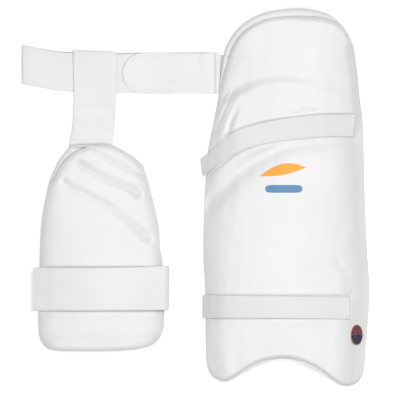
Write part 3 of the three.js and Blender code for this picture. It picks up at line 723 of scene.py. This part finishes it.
def edge_roll(name, outline, widths, base, rise, arch_shape, centre):
    """Padded roll just inside an outline (left side of the path is outside), of varying width."""
    rings = []
    for k, (p, width) in enumerate(zip(outline, widths)):
        a = outline[min(k + 1, len(outline) - 1)] - outline[max(k - 1, 0)]
        inward = np.array([a[1], -a[0]]) / np.linalg.norm(a)
        ring = []
        for step in range(16):
            angle = 2 * math.pi * step / 16
            xy = p + inward * (0.3 + width / 2 * (1 - math.cos(angle)))
            high = math.sin(angle)
            h = base + (1.0 + rise * width) * (abs(high) ** 0.9) * (1 if high > 0 else -0.35)
            ring.append((xy[0] + centre, xy[1], float(arch(arch_shape, p[0])) + h))
        rings.append(ring)
    piece = fix_normals(loft(name, rings, False))
    dress(piece, rim_cloth, "binding")
    return piece


def gap_widths(outline, panel, most):
    """Widths that fill the gap between an outline and a panel's edge, thinning at both ends."""
    t = np.linspace(0, 1, len(outline))
    gap = near_line(outline[:, 0], outline[:, 1], panel)[0]
    return (np.minimum(gap, most) + 0.6) * smoothstep(t / 0.05) * smoothstep((1 - t) / 0.05) + 1.2


# padded rim of the back layer, showing round the top of the hip panel and along the bottom hollow
rim_path = sample(np.vstack([left_edge_hip, top_edge[1:], right_edge_hip[::-1][1:30]]), np.linspace(0, 1, 150))
rim = edge_roll("hip_rim", rim_path, gap_widths(rim_path, panel_edge, 10.0), 6.6, 0.42, OUTER_ARCH, OUTER_X)
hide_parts("hip_rim_roll")
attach(rim, "hip")
hollow_path = sample(bottom_edge, np.linspace(0.90, 0.10, 150))
hollow_t = np.linspace(0, 1, 150)
hollow_width = (1.7 + 2.0 * np.maximum(trough(hollow_path[:, 0] - 32, 22), trough(hollow_path[:, 0] + 38, 22)))
hollow_width = hollow_width * smoothstep(hollow_t / 0.1) * smoothstep((1 - hollow_t) / 0.1) + 0.5
hollow_rim = edge_roll("hollow_rim", hollow_path, hollow_width, 6.2, 0.40, OUTER_ARCH, OUTER_X)
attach(hollow_rim, "thigh")


# ---------- leg straps ----------
def taut(s, z):
    """Height of webbing pulled over a surface: the upper hull of its profile."""
    hull = [0]
    for k in range(1, len(s)):
        while len(hull) > 1:
            a, b = hull[-2], hull[-1]
            if (z[b] - z[a]) * (s[k] - s[a]) <= (z[k] - z[a]) * (s[b] - s[a]):
                hull.pop()
            else:
                break
        hull.append(k)
    pulled = np.interp(s, s[hull], z[hull])
    return 0.8 * pulled + 0.2 * z


def laid_edge(line, t, clear):
    """Points of a strap's edge on the outer guard's front."""
    xy = sample(line, t)
    z = taut(xy[:, 0], outer_front(np.clip(xy[:, 0], -91.5, 93.0), xy[:, 1], pressed=False))
    knee = float(np.interp(58, xy[:, 0], z))
    stiff = knee - 0.40 * (xy[:, 0] - 58)
    z = np.where(xy[:, 0] > 58, np.maximum(z, stiff), z)
    return xy, z + clear


def strap_edges(low_line, high_line, count, clear, fold_height, root_out):
    """Low and high edge lines, from the sewn root up round the left side and over the front."""
    t = np.linspace(0, 1, count)
    edges = []
    for line in (low_line, high_line):
        xy, z = laid_edge(line, t, clear)
        keep = xy[:, 0] > xy[0, 0] + 7.0
        first = xy[0]
        wrap = smooth_line([
            (first[0] - root_out, first[1], 1.0), (first[0] - root_out - 0.4, first[1], 5.5),
            (first[0] - root_out + 0.3, first[1] + 0.1, fold_height), (xy[keep][0, 0], xy[keep][0, 1], z[keep][0]),
            (xy[keep][6, 0], xy[keep][6, 1], z[keep][6])], 14)
        over = np.column_stack([xy[keep][7:], z[keep][7:]])
        path = np.vstack([wrap, over])
        edges.append(sample(path, np.linspace(0, 1, count)))
    for edge in edges:
        edge[:, 0] += OUTER_X
    return edges


def webbing_relief(seed, ribs=0.0):
    """Slight ripples, a groove inside both edges, and ribs that set in along the strap."""
    def relief(s, q):
        rows = sum(np.exp(-(((q - c) * 30) ** 2)) for c in (0.22, 0.36, 0.5, 0.64))
        rows = ribs * rows * smoothstep((s - 40) / 50)
        ripple = 0.10 * np.sin(s / 6.5 + seed) * np.sin(3.1 * q + seed) + 0.08 * np.sin(s / 11.0 + 2 * seed)
        groove = 0.22 * (np.exp(-(((q - 0.1) * 26) ** 2)) + np.exp(-(((q - 0.9) * 26) ** 2)))
        return ripple - groove - rows
    return relief


def split_edges(edges, x):
    """Both edge lines cut at row x: the part left of it and the part right of it."""
    middle = (edges[0][:, 0] + edges[1][:, 0]) / 2
    cut = int(np.argmax(middle > x))
    return [e[:cut + 1] for e in edges], [e[cut:] for e in edges]


SPLIT_X = OUTER_X + 21.2


def make_leg_strap(label, low_line, high_line, fold_height, root_out):
    edges = strap_edges(low_line, high_line, 260, 1.1, fold_height, root_out)
    main, tip = split_edges(edges, SPLIT_X)
    seed, ribs = (0.4, 0.12) if label == "upper" else (1.7, 0.30)
    strap = strip(f"{label}_leg_strap", *main, WEB, across=26, relief=webbing_relief(seed, ribs))
    dress(strap, leg_elastic, "webbing", f"{label}_strap", f"{label}_strap_root")
    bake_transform(strap)
    offset = 0.5 * sum(np.linalg.norm(np.diff(e, axis=0), axis=1).sum() for e in main)
    end = strip(f"{label}_leg_strap_end", *tip, WEB, across=26,
                relief=lambda s, q: webbing_relief(seed, ribs)(s + offset, q))
    dress(end, leg_elastic, "webbing", f"{label}_strap_end")
    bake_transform(end)
    under = [e[3:-9].copy() for e in tip]
    for e, other in ((under[0], under[1].copy()), (under[1], under[0].copy())):
        e += (other - e) * 0.07
        e[:, 2] -= 1.25
    patch = strip(f"{label}_hook_tape", *under, TAPE, round_power=10)
    dress(patch, hook_tape, "hook", f"{label}_hook_patch")
    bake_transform(patch)
    return edges


LOWER_X = (-94.8, -60, 0, 40, 75.5)
lower_low = np.column_stack([LOWER_X, LOWER_Y - np.array([13.4, 13, 13.2, 13.8, 14.2])])
lower_high = np.column_stack([LOWER_X, LOWER_Y + np.array([13.8, 13.2, 12.6, 12, 11.6])])
lower_edges = make_leg_strap(
    "lower", smooth_line(lower_low), smooth_line(lower_high),
    11.0, 1.9)
upper_edges = make_leg_strap(
    "upper", strap_low, strap_high,
    9.0, 0.8)

# ---------- inner guard ----------
inner_bottom = smooth_line([
    (-69, -174), (-65.4, -177.6), (-60, -180.4), (-52, -181.8), (-25, -182.4), (8, -182.3), (40, -180.4),
    (52, -178), (61, -174.6), (67.6, -169)])
inner_left = smooth_line([
    (-69, -174), (-71.6, -169), (-73.4, -161), (-74.2, -148), (-73.4, -100), (-70.2, -30), (-63, 12)])
inner_left_mid = smooth_line([(-63, 12), (-57, 28), (-50, 43)])
inner_left_up = smooth_line([(-50, 43), (-40, 55)])
inner_left_top = smooth_line([(-40, 55), (-36, 60.5)])
inner_right = smooth_line([
    (67.6, -169), (71.4, -162.6), (73.6, -154), (74.6, -138), (73.6, -105), (71.5, -70), (69.5, -62)])
inner_right_mid = smooth_line([(69.5, -62), (67.8, -35), (62, -8)])
inner_right_up = smooth_line([(62, -8), (55, 20)])
inner_right_top = smooth_line([(55, 20), (49, 38)])
inner_top = smooth_line([(-36, 60.5), (-11, 61.5), (13, 60.5), (33, 50), (49, 38)])
seam_low = smooth_line([(-63, 12), (-44, 16), (-20, 4), (11, -13), (43, -38), (56, -50), (69.5, -62)])
seam_mid = smooth_line([(-50, 43), (-25, 37), (-4, 27), (25, 14), (43, 3), (62, -8)])
seam_up = smooth_line([(-40, 55), (-20, 55.5), (1, 50), (29, 35), (55, 20)])
channel_low = smooth_line([(-44, 17), (-35, 10), (-20, 4), (-6, -3.5), (11, -13), (29, -26), (43, -38), (56, -50)])
channel_mid = smooth_line([(-25, 38), (-18, 34), (-4, 27), (11, 19), (25, 14), (36, 8.5), (43, 2.5)])
channel_up = smooth_line([(-8, 57), (1, 50), (15, 41), (29, 35), (43, 28), (51, 24)])
inner_left_side = np.vstack([inner_left, inner_left_mid, inner_left_up, inner_left_top])
inner_right_side = np.vstack([inner_right, inner_right_mid, inner_right_up, inner_right_top])
inner_panel_edge = smooth_line([
    (-72, -60), (-68, -10), (-59.5, 15.5), (-54, 22), (-48, 34.5), (-39, 45), (-27, 54), (-18, 57)])
BAND_Y = -109.0


def inner_front(x, y, pressed=True):
    """Height of the inner guard's front at local x, y."""
    x, y = np.asarray(x, float), np.asarray(y, float)
    low = arch(INNER_ARCH, x) + EDGE
    full = crown(INNER_ARCH, INNER_CROWN, INNER_PAD, x)
    d_left, d_right, d_top, d_bottom = (
        nearest(x, y, line) for line in (inner_left_side, inner_right_side, inner_top, inner_bottom))
    share = roll(d_left, 20, 2.7) * roll(d_right, 15, 2.2) * roll(d_top, 12, 2.5)
    foam = 0.74 + 0.18 * smoothstep((y + 176) / 18) + 0.08 * smoothstep((y + 160) / 70)
    share = share * roll(d_bottom, 9, 2.4) * foam
    d, t = near_line(x, y, inner_panel_edge)
    panel_x = np.interp(y, inner_panel_edge[:, 1], inner_panel_edge[:, 0])
    rim_side = smoothstep((panel_x - x) / 1.6) * smoothstep((y + 20) / 30) * smoothstep((61 - y) / 5)
    low_rim = 0.12 * roll(np.minimum(d_left, d_top), 5, 2.0)
    share = share + (low_rim - share) * rim_side
    z = low + (full - low) * share
    lift = np.clip(share * 1.5, 0, 1)
    z -= lift * 3.0 * trough(d, 3.2) * smoothstep((y - 5) / 12)
    for line, depth, width, left_end, right_end in (
            (channel_low, 4.8, 5.2, 1.2, 3.4), (channel_mid, 5.2, 5.2, 2.8, 2.4), (channel_up, 4.2, 4.6, 0.0, 0.0)):
        d, t = near_line(x, y, line)
        ends = left_end * trough(t, 0.12) + right_end * trough(t - 1, 0.16)
        z -= lift * (depth + ends) * crease(d, 1.35 * width + 0.3 * ends)
    z += lift * ripples(x, y, [(0.2, 53, 20, 0.5), (0.16, 37, 96, 0.2), (0.1, 23, 150, 1.4)])
    if pressed:
        d = np.abs(y - BAND_Y)
        z -= lift * (2.6 * smoothstep((27.3 - d) / 2.0) - 0.9 * trough(d - 30.5, 3.6))
    return z


def inner_grid(columns, rows):
    u = edge_dense(columns)
    v = [edge_dense(rows[0], 0.3)] + [np.linspace(0, 1, n) for n in rows[1:]]
    low = coons(inner_bottom, seam_low, inner_left, inner_right, u, v[0])
    mid = coons(seam_low, seam_mid, inner_left_mid, inner_right_mid, u, v[1])
    up = coons(seam_mid, seam_up, inner_left_up, inner_right_up, u, v[2])
    top = coons(seam_up, inner_top, inner_left_top, inner_right_top, u, v[3])
    return np.concatenate([low, mid[1:], up[1:], top[1:]])


def inner_hold(row_x, y):
    """Where the cover of the inner guard can't swell."""
    x = row_x - INNER_X
    grooves = nearest(x, y, channel_low, channel_mid, channel_up, inner_panel_edge)
    return held_near((nearest(x, y, inner_left_side, inner_right_side, inner_bottom, inner_top), 4, 9),
                     (grooves, 6, 5), (np.abs(y - BAND_Y), 28, 6))


INNER_GRID = ((176, (200, 54, 32, 18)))
inner_plan = inner_grid(*INNER_GRID)
inner_pad = guard_padding("inner_padding", inner_plan, inner_front, INNER_ARCH, INNER_X)
swell(inner_pad, inner_hold, INNER_SWELL)
dress(inner_pad, jersey, "front_fabric")
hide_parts("inner_cover", "inner_base_foam", "inner_foam_low", "inner_foam_middle",
            "inner_foam_upper", "inner_foam_top")
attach(inner_pad, "inner_guard")


inner_quilt = quilt((-44, -15, 15, 44), 0.8, 0.12, 8.0, 11.0)
inner_rim_path = smooth_line([
    (-63.5, 8), (-60.6, 21), (-57, 29), (-50.6, 41.6), (-44.5, 50), (-38.6, 57.2), (-34, 60.4)], 16)
inner_rim_path = sample(inner_rim_path, np.linspace(0, 1, 80))
inner_rim = edge_roll("inner_rim", inner_rim_path, gap_widths(inner_rim_path, inner_panel_edge, 5.5), 6.6, 0.46,
                      INNER_ARCH, INNER_X)
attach(inner_rim, "inner_guard")
inner_lining = guard_lining("inner_lining", inner_grid(80, (90, 24, 16, 10)), INNER_ARCH, INNER_X, inner_quilt)
dress(inner_lining, lining, "liner", "inner_liner")
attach(inner_lining, "inner_guard")

inner_outline = np.vstack([
    inner_bottom[:-1], inner_right_side[:-1], inner_top[::-1][:-1], inner_left_side[::-1][:-1]])
inner_outline = sample(np.vstack([inner_outline, inner_outline[:1]]), np.linspace(0, 1, 380, endpoint=False))
inner_edge = rim_binding("inner_binding_tape", inner_outline, INNER_ARCH, INNER_X, EDGE_SECTION)
dress(inner_edge, edge_cloth, "binding", "inner_binding")
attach(inner_edge, "inner_guard")

# ---------- inner guard band ----------
band_x = np.concatenate([np.linspace(70.0, 60, 16), np.linspace(59, -63, 130)])
band_front = np.array([
    inner_front(np.full(5, x), BAND_Y + np.linspace(-22, 22, 5), pressed=False).max() for x in band_x])
order = np.argsort(band_x)
band_top = np.empty_like(band_front)
band_top[order] = taut(band_x[order], band_front[order]) + 1.2
side_top = float(band_top[14])
wrap = smooth_line([
    (76.0, 1.2), (77.8, 4.0), (79.2, 10.0), (79.4, side_top - 12), (78.6, side_top - 6.5), (75.6, side_top - 2.9),
    (70.0, side_top - 1.0), (63.0, side_top + 0.1)], 12)
tail_z = band_top[-1]
tail = smooth_line([(-63.0, tail_z), (-68.0, tail_z - 1.5), (-74.0, tail_z - 4.0), (-79.8, tail_z - 7.0)], 10)
band_path = np.vstack([wrap, np.column_stack([band_x[16:-1], band_top[16:-1]]), tail])
band_path = sample(band_path, np.linspace(0, 1, 240))
soft = np.exp(-(np.arange(-18, 19) / 8.0) ** 2)
smoothed = np.convolve(np.pad(band_path[:, 1], 18, mode="reflect", reflect_type="odd"), soft / soft.sum(), "valid")
band_path[:, 1] = np.where(band_path[:, 0] < 66, smoothed, band_path[:, 1])
px, pz = band_path.T
slack = 1.4 * np.sin(np.pi * np.clip((px + 78) / 150, 0, 1))
band_high = np.column_stack([px + INNER_X, BAND_Y + 26.2 - slack * 0.7 + 0.012 * px, pz])
band_low = np.column_stack([px + INNER_X - 0.6, BAND_Y - 25.4 - 0.1 * slack + 0.004 * px, pz])
band = strip("inner_leg_band", band_low, band_high, WEB + 0.2, across=20, relief=webbing_relief(2.6))
dress(band, elastic, "webbing", "inner_band", "inner_band_root")
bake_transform(band)
hook_part = slice(188, 226)
hook_low, hook_high = band_low[hook_part].copy(), band_high[hook_part].copy()
for edge, shift in ((hook_low, 3.0), (hook_high, -3.0)):
    edge[:, 1] += shift
    edge[:, 2] -= 1.3
band_hook = strip("inner_band_hook_tape", hook_low, hook_high, TAPE, across=16, round_power=10)
dress(band_hook, hook_tape, "hook", "inner_band_hook")
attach(band_hook, "band")


# ---------- waist belt ----------
def belt_middle(x):
    return np.interp(x, [-204, -190, -167, -146, -120, -88, -40], [155.8, 153.2, 149.0, 147.3, 146.4, 145.7, 145.5])


belt_line = smooth_line([
    (17, 2.2), (10, 1.6), (0, 1.2), (-20, 1.0), (-70, 1.0), (-120, 1.0), (-150, 1.0), (-175, 1.0), (-196, 1.1),
    (-202.0, 1.9), (-204.2, 3.3), (-202.0, 4.9), (-196, 5.5), (-175, 5.4), (-150, 5.4), (-120, 5.4), (-70, 5.4),
    (-30, 5.4), (-8, 5.4)], 14)
belt_line = sample(belt_line, np.linspace(0, 1, 320))
bx = belt_line[:, 0]
lag = np.where(np.arange(320) > 162, 0.0, 1.2)  # the back ply shows a little above the front one
lag = lag * smoothstep((bx + 190) / 60)
belt_lo = np.column_stack([bx, belt_middle(bx) - 23.4 + lag + 0.3 * np.sin(bx / 17), belt_line[:, 1]])
tight = 0.9 * smoothstep((bx + 172) / 12) * smoothstep((-78 - bx) / 12)  # pinched by the hanger
belt_hi = np.column_stack([bx, belt_middle(bx) + 23.2 - tight + lag + 0.3 * np.sin(bx / 21 + 1), belt_line[:, 1]])
belt = strip("waist_belt", belt_lo, belt_hi, WEB, across=18, relief=webbing_relief(3.3))
dress(belt, elastic, "webbing", "belt")
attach(belt, "belt")

anchor_path = sample(
    smooth_line([(19, 2.2), (29, 2.3), (34, 6.4), (41, 12), (48, 16.6), (56, 20.8)]), np.linspace(0, 1, 50))
anchor_lo, anchor_hi = (
    np.column_stack([anchor_path[:, 0], np.full(50, y), anchor_path[:, 1]]) for y in (127.0, 167.0))
anchor = strip("belt_anchor", anchor_lo, anchor_hi, 1.4, across=16, relief=webbing_relief(0.9))
dress(anchor, elastic, "webbing", "belt_anchor_patch")
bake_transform(anchor)

# rounded tab that grips the belt
TAB_Y, TAB_HALF, TAB_TIP = 145.5, 24.0, -86.0


def tab_half_width(x):
    return np.sqrt(TAB_HALF**2 - (TAB_HALF - np.clip(x - TAB_TIP, 0, TAB_HALF)) ** 2)


tab_x = TAB_TIP + 0.3 + (np.linspace(0, 1, 190) ** 1.9) * 114.2
tab_half = tab_half_width(tab_x)
pucker = 0.16 * np.sin(tab_x / 3.1 + 1.3 * np.sin(tab_x / 9))
pucker = pucker * smoothstep((tab_x + 70) / 10) * smoothstep((10 - tab_x) / 20)
tab_z = np.interp(tab_x, [-86, -20, -6, 4, 12, 18, 21.5, 24, 28.5], [8.7, 8.8, 8.9, 9.7, 11.1, 11.5, 11.2, 7.2, 5.6])
tab_lo = np.column_stack([tab_x, TAB_Y - tab_half - pucker, tab_z])
tab_hi = np.column_stack([tab_x, TAB_Y + tab_half + pucker * 0.8, tab_z])


def tab_relief(s, q):
    edge = np.minimum(q, 1 - q)
    wrinkle = 0.35 * np.sin(s / 2.1) * np.exp(-((edge - 0.11) / 0.05) ** 2)
    seam = -0.45 * np.exp(-(((edge - 0.08) / 0.018) ** 2))
    broad = 0.25 * np.sin(s / 9 + 2 * q) + 0.15 * np.sin(s / 4.3 + 5 * q)
    return wrinkle + seam + broad


tab_cut = int(np.argmax(tab_x > 12.8))
tab = strip("belt_hook_tab", tab_lo[:tab_cut + 1], tab_hi[:tab_cut + 1], WEB + 0.4, across=26, relief=tab_relief)
dress(tab, tab_cloth, "webbing", "belt_tab")
root = strip("tab_sewn_root", tab_lo[tab_cut:], tab_hi[tab_cut:], WEB + 0.4, across=26, relief=webbing_relief(1.1))
dress(root, tab_cloth, "webbing", "tab_root")
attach(root, "hip")
tab_hook_x = np.linspace(-80, -27, 50)
tab_hook_half = tab_half_width(tab_hook_x) - 3
tab_hook = strip(
    "tab_hook_tape",
    np.column_stack([tab_hook_x, TAB_Y - tab_hook_half, np.full(50, 7.2)]),
    np.column_stack([tab_hook_x, TAB_Y + tab_hook_half, np.full(50, 7.2)]), 0.9, across=14, round_power=10)
dress(tab_hook, hook_tape, "hook", "tab_hook_patch")
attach(tab, "tab")
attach(tab_hook, "tab")


# ---------- hanger ----------
def hanger_edges(path):
    """Left and right edges of the hanger along a path of (y, z)."""
    y = path[:, 0]
    left = np.interp(y, [32, 61.5, 75, 93, 119.4, 173], [-145, -149, -146.2, -144.2, -143.6, -144.6])
    right = np.interp(y, [32, 61.5, 75, 93, 119.4, 173], [-99, -98, -96.2, -94.8, -93.0, -92.0])
    slope = 2.4 * smoothstep((y - 140) / 32)  # the fold runs slightly downhill to the right
    return np.column_stack([left, y, path[:, 1]]), np.column_stack([right, y - slope, path[:, 1]])


upper_path = sample(smooth_line([
    (89.5, 7.6), (100, 7.7), (112, 7.8), (122, 7.9), (140, 7.9), (160, 7.9), (168.5, 7.7), (171.7, 6.9),
    (172.5, 5.5), (171.7, 4.2), (168.5, 3.3), (150, 3.15), (126, 3.2), (120.5, 3.9), (116, 5.0), (108, 5.7),
    (101, 5.7)]), np.linspace(0, 1, 260))


def upper_relief(s, q):
    y = 89.5 + s
    front = smoothstep((82 - s) / 6)
    creases = sum(0.55 * np.exp(-(((y - c - 1.2 * np.sin(3 * q)) / 1.3) ** 2)) for c in (107, 113))
    return front * (0.25 * np.sin(y / 5.1 + 3 * q) * smoothstep((125 - y) / 20) - creases)


hanger_top = strip("hanger_upper_cloth", *hanger_edges(upper_path), 1.5, across=20, relief=upper_relief)
dress(hanger_top, elastic, "webbing", "hanger_loop", "hanger_strap", "hanger_stitch_patch")
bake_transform(hanger_top)

lower_path = sample(smooth_line([
    (99.5, 5.5), (93, 5.6), (88, 6.2), (80, 7.4), (72, 8.3), (66, 8.8), (60, 9.0), (48, 9.0), (34, 9.0)]),
    np.linspace(0, 1, 150))


def lower_relief(s, q):
    y = 99.5 - s
    creases = 0.8 * np.exp(-(((y - 67.5 - 1.2 * np.sin(3 * q)) / 1.5) ** 2)) * smoothstep((y - 63) / 2)
    return 0.2 * np.sin(y / 4.3 + 3 * q) * smoothstep((89 - y) / 4) * smoothstep((y - 63) / 4) - creases


hanger_low = strip("hanger_lower_cloth", *hanger_edges(lower_path), 1.6, across=20, relief=lower_relief)
dress(hanger_low, elastic, "webbing", "inner_hanger_stub")
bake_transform(hanger_low)


# ---------- stitching ----------
def along_strip(left, right, q, first, last, lift):
    """Line at share q of the width, lifted off the face."""
    line = left * (1 - q) + right * q
    normal = unit(np.cross(np.gradient((left + right) / 2, axis=0), right - left))
    return (line + normal * lift)[first:last]


def across_strip(left, right, k, q0, q1, lift):
    """Line across the strip at its point k, between shares q0 and q1."""
    t = np.linspace(q0, q1, 12)[:, None]
    normal = unit(np.cross(left[min(k + 1, len(left) - 1)] - left[k - 1], right[k] - left[k]))
    return left[k] * (1 - t) + right[k] * t + normal * lift


def sewn(name, lines, body, slot_name="webbing", **sizes):
    piece = stitches(name, lines, **sizes)
    dress(piece, thread, slot_name)
    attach(piece, body)
    return piece


def box_lines(left, right, first, last, q, lift):
    return [along_strip(left, right, q, first, last, lift), along_strip(left, right, 1 - q, first, last, lift),
            across_strip(left, right, first, q, 1 - q, lift), across_strip(left, right, last - 1, q, 1 - q, lift)]


n = len(lower_edges[0])
sewn("lower_strap_stitching", box_lines(*lower_edges, n - 22, n - 3, 0.12, 0.85), "lower_end")
sewn("upper_strap_stitching", box_lines(*upper_edges, n - 22, n - 3, 0.12, 0.85), "upper_end")
sewn("band_hem_stitching", [across_strip(band_low, band_high, 231, 0.02, 0.98, 0.95)], "band")
arc = np.linspace(math.pi / 2, 3 * math.pi / 2, 40)
arc_line = np.column_stack([
    TAB_TIP + TAB_HALF + (TAB_HALF - 3.6) * np.cos(arc), TAB_Y + (TAB_HALF - 3.6) * np.sin(arc), np.full(40, 9.6)])
tab_seam = np.vstack([[(-10, TAB_Y + TAB_HALF - 3.6, 9.6)], arc_line, [(-10, TAB_Y - TAB_HALF + 3.6, 9.6)]])
sewn("tab_stitching", [tab_seam], "tab")
hang_l, hang_r = hanger_edges(np.column_stack([np.full(3, 92.5), np.full(3, 8.55)]))
row_low = np.linspace(hang_l[0] + [3, 0, 0], hang_r[0] - [3, 0, 0], 12)
sewn("hanger_stitching", [row_low, row_low + [0.6, 13.5, 0.05]], "hanger")
belt_seam = np.column_stack([np.full(12, -199.0), np.linspace(133.5, 176.5, 12), np.full(12, 6.3)])
sewn("belt_stitching", [belt_seam], "belt")


def edge_seam(name, outline, arch_shape, centre):
    loop_line = outline + 0.28 * inward_of(outline)
    loop_line = np.vstack([loop_line, loop_line[:1]])
    seam = lifted(loop_line, arch(arch_shape, loop_line[:, 0]) + 3.4, centre)
    return stitches(name, [seam], pitch=4.0, length=2.6, radius=0.3)


outer_seam = edge_seam("outer_edge_stitching", outer_outline, OUTER_ARCH, OUTER_X)
dress(outer_seam, thread, "binding")
bend_hip(outer_seam)
inner_seam = edge_seam("inner_edge_stitching", inner_outline, INNER_ARCH, INNER_X)
dress(inner_seam, thread, "binding")
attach(inner_seam, "inner_guard")


# ---------- printed marks and badge ----------
def printed(name, centre_x, centre_y, length, half_height, slant, material, slot_name):
    s = np.linspace(-1, 1, 70)
    rows = 13
    plan = np.zeros((rows, len(s), 2))
    for r in range(rows):
        side = 2 * r / (rows - 1) - 1
        plan[r, :, 0] = centre_x + length / 2 * s
        plan[r, :, 1] = centre_y + slant(s) + side * half_height(s)
    z = outer_front(plan[..., 0], plan[..., 1])
    top = lifted(plan, z + 0.28, OUTER_X)
    piece = closed_sheet(name, top, lifted(plan, z - 0.3, OUTER_X))
    dress(piece, material, slot_name)
    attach(piece, "thigh")
    return piece


leaf = printed("leaf_mark", -3, 31, 54, lambda s: 0.25 + 6.3 * (1 - np.abs(s) ** 1.8), lambda s: 5 * s - 3 * s * s + 1,
               print_orange, "print_orange")
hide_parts("emblem_leaf")
bar = printed("bar_mark", -2, 9, 44, lambda s: 4.5 * np.clip(1 - np.abs(s) ** 9, 0, 1) ** 0.5 + 0.05,
              lambda s: 0 * s, print_blue, "print_blue")
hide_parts("emblem_bar")


BADGE_SPOT = (83.6, -163.0)


def badge(name, start, stop, radius, inner, height, material, slot_name):
    """Sector of a disc lying on the right side of the guard, built in its own tangent plane."""
    x0, y0, run = *BADGE_SPOT, 4.0
    z0 = float(outer_front(np.array([x0]), np.array([y0]))[0])
    z_run = outer_front(np.array([x0 - run, x0 + run]), np.array([y0, y0]))
    slope = float(z_run[1] - z_run[0]) / (2 * run)
    along = np.array([1, 0, slope]) / math.hypot(1, slope)
    normal = np.array([-slope, 0, 1]) / math.hypot(1, slope)
    up = np.array([0.0, 1.0, 0.0])
    rings = [inner, radius * 0.5, radius * 0.9, radius - 0.25, radius]
    rings = sorted(set([inner] + [r for r in rings if r > inner]))
    lifts = [height * (1 - 0.5 * (r / radius) ** 12) for r in rings]
    angles = np.linspace(start, stop, 48)
    top = np.zeros((len(rings), len(angles), 3))
    for i, (r, h) in enumerate(zip(rings, lifts)):
        for j, a in enumerate(angles):
            flat = along * r * math.cos(a) + up * r * math.sin(a)
            top[i, j] = np.array([x0, y0, z0]) + flat + normal * (0.7 + h)
    bottom = top - normal * (height + 0.6)
    top[..., 0] += OUTER_X
    bottom[..., 0] += OUTER_X
    piece = fix_normals(closed_sheet(name, top, bottom))
    dress(piece, material, slot_name)
    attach(piece, "thigh")
    return piece


lower_half = badge(
    "badge_lower_half", math.pi + 0.03, 2 * math.pi - 0.03, 11.2, 0.4, 0.35, badge_navy, "badge_navy")
upper_half = badge("badge_upper_half", 0.0, math.pi, 11.2, 0.4, 0.35, badge_maroon, "badge_maroon")
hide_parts("badge_lower")
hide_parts("badge_upper")
badge("badge_rim", 0.0, 2 * math.pi * 0.999, 12.0, 11.3, 0.55, badge_rim_cloth, "badge_navy")

# ---------- floor, light and camera ----------
FLOOR_HALF, FLOOR_Z = 4, -0.0006
floor_mesh = bpy.data.meshes.new("floor")
floor_mesh.from_pydata(
    [(a * FLOOR_HALF, b * FLOOR_HALF, FLOOR_Z) for a, b in ((-1, -1), (1, -1), (1, 1), (-1, 1))], [], [(0, 1, 2, 3)])
floor = bpy.data.objects.new("floor", floor_mesh)
bpy.context.scene.collection.objects.link(floor)
paper = bpy.data.materials.new("floor_paper")
paper.use_nodes = True
paper_shader = paper.node_tree.nodes["Principled BSDF"]
paper_shader.inputs["Base Color"].default_value = (0.35, 0.35, 0.35, 1)
paper_shader.inputs["Roughness"].default_value = 0.95
paper_shader.inputs["Emission Color"].default_value = (1, 1, 1, 1)
paper_shader.inputs["Emission Strength"].default_value = 0.65
floor.data.materials.append(paper)

world = bpy.data.worlds.new("studio")
bpy.context.scene.world = world
world.use_nodes = True
world.node_tree.nodes["Background"].inputs["Color"].default_value = (1, 1, 1, 1)
world.node_tree.nodes["Background"].inputs["Strength"].default_value = 0.35


LIGHT_PLACE = Vector((0.16, 0.03, 2.4))
light = bpy.data.lights.new("key", "AREA")
light.shape = "SQUARE"
light.size = 0.7
light.energy = 53
lamp = bpy.data.objects.new("key", light)
bpy.context.scene.collection.objects.link(lamp)
lamp.location = LIGHT_PLACE
lamp.rotation_euler = (-LIGHT_PLACE).to_track_quat("-Z", "Y").to_euler()

camera_data = bpy.data.cameras.new("camera")
camera = bpy.data.objects.new("camera", camera_data)
bpy.context.scene.collection.objects.link(camera)
CAMERA_HEIGHT, VIEW_WIDTH = 20.0, 0.472
camera.location = (0.0054, -0.0041, CAMERA_HEIGHT)
camera.rotation_euler = (0, 0, 0)
camera_data.sensor_width = 36
camera_data.lens = 36 * CAMERA_HEIGHT / VIEW_WIDTH
camera_data.clip_end = 60
bpy.context.scene.camera = camera
bpy.context.scene.view_settings.view_transform = "Standard"
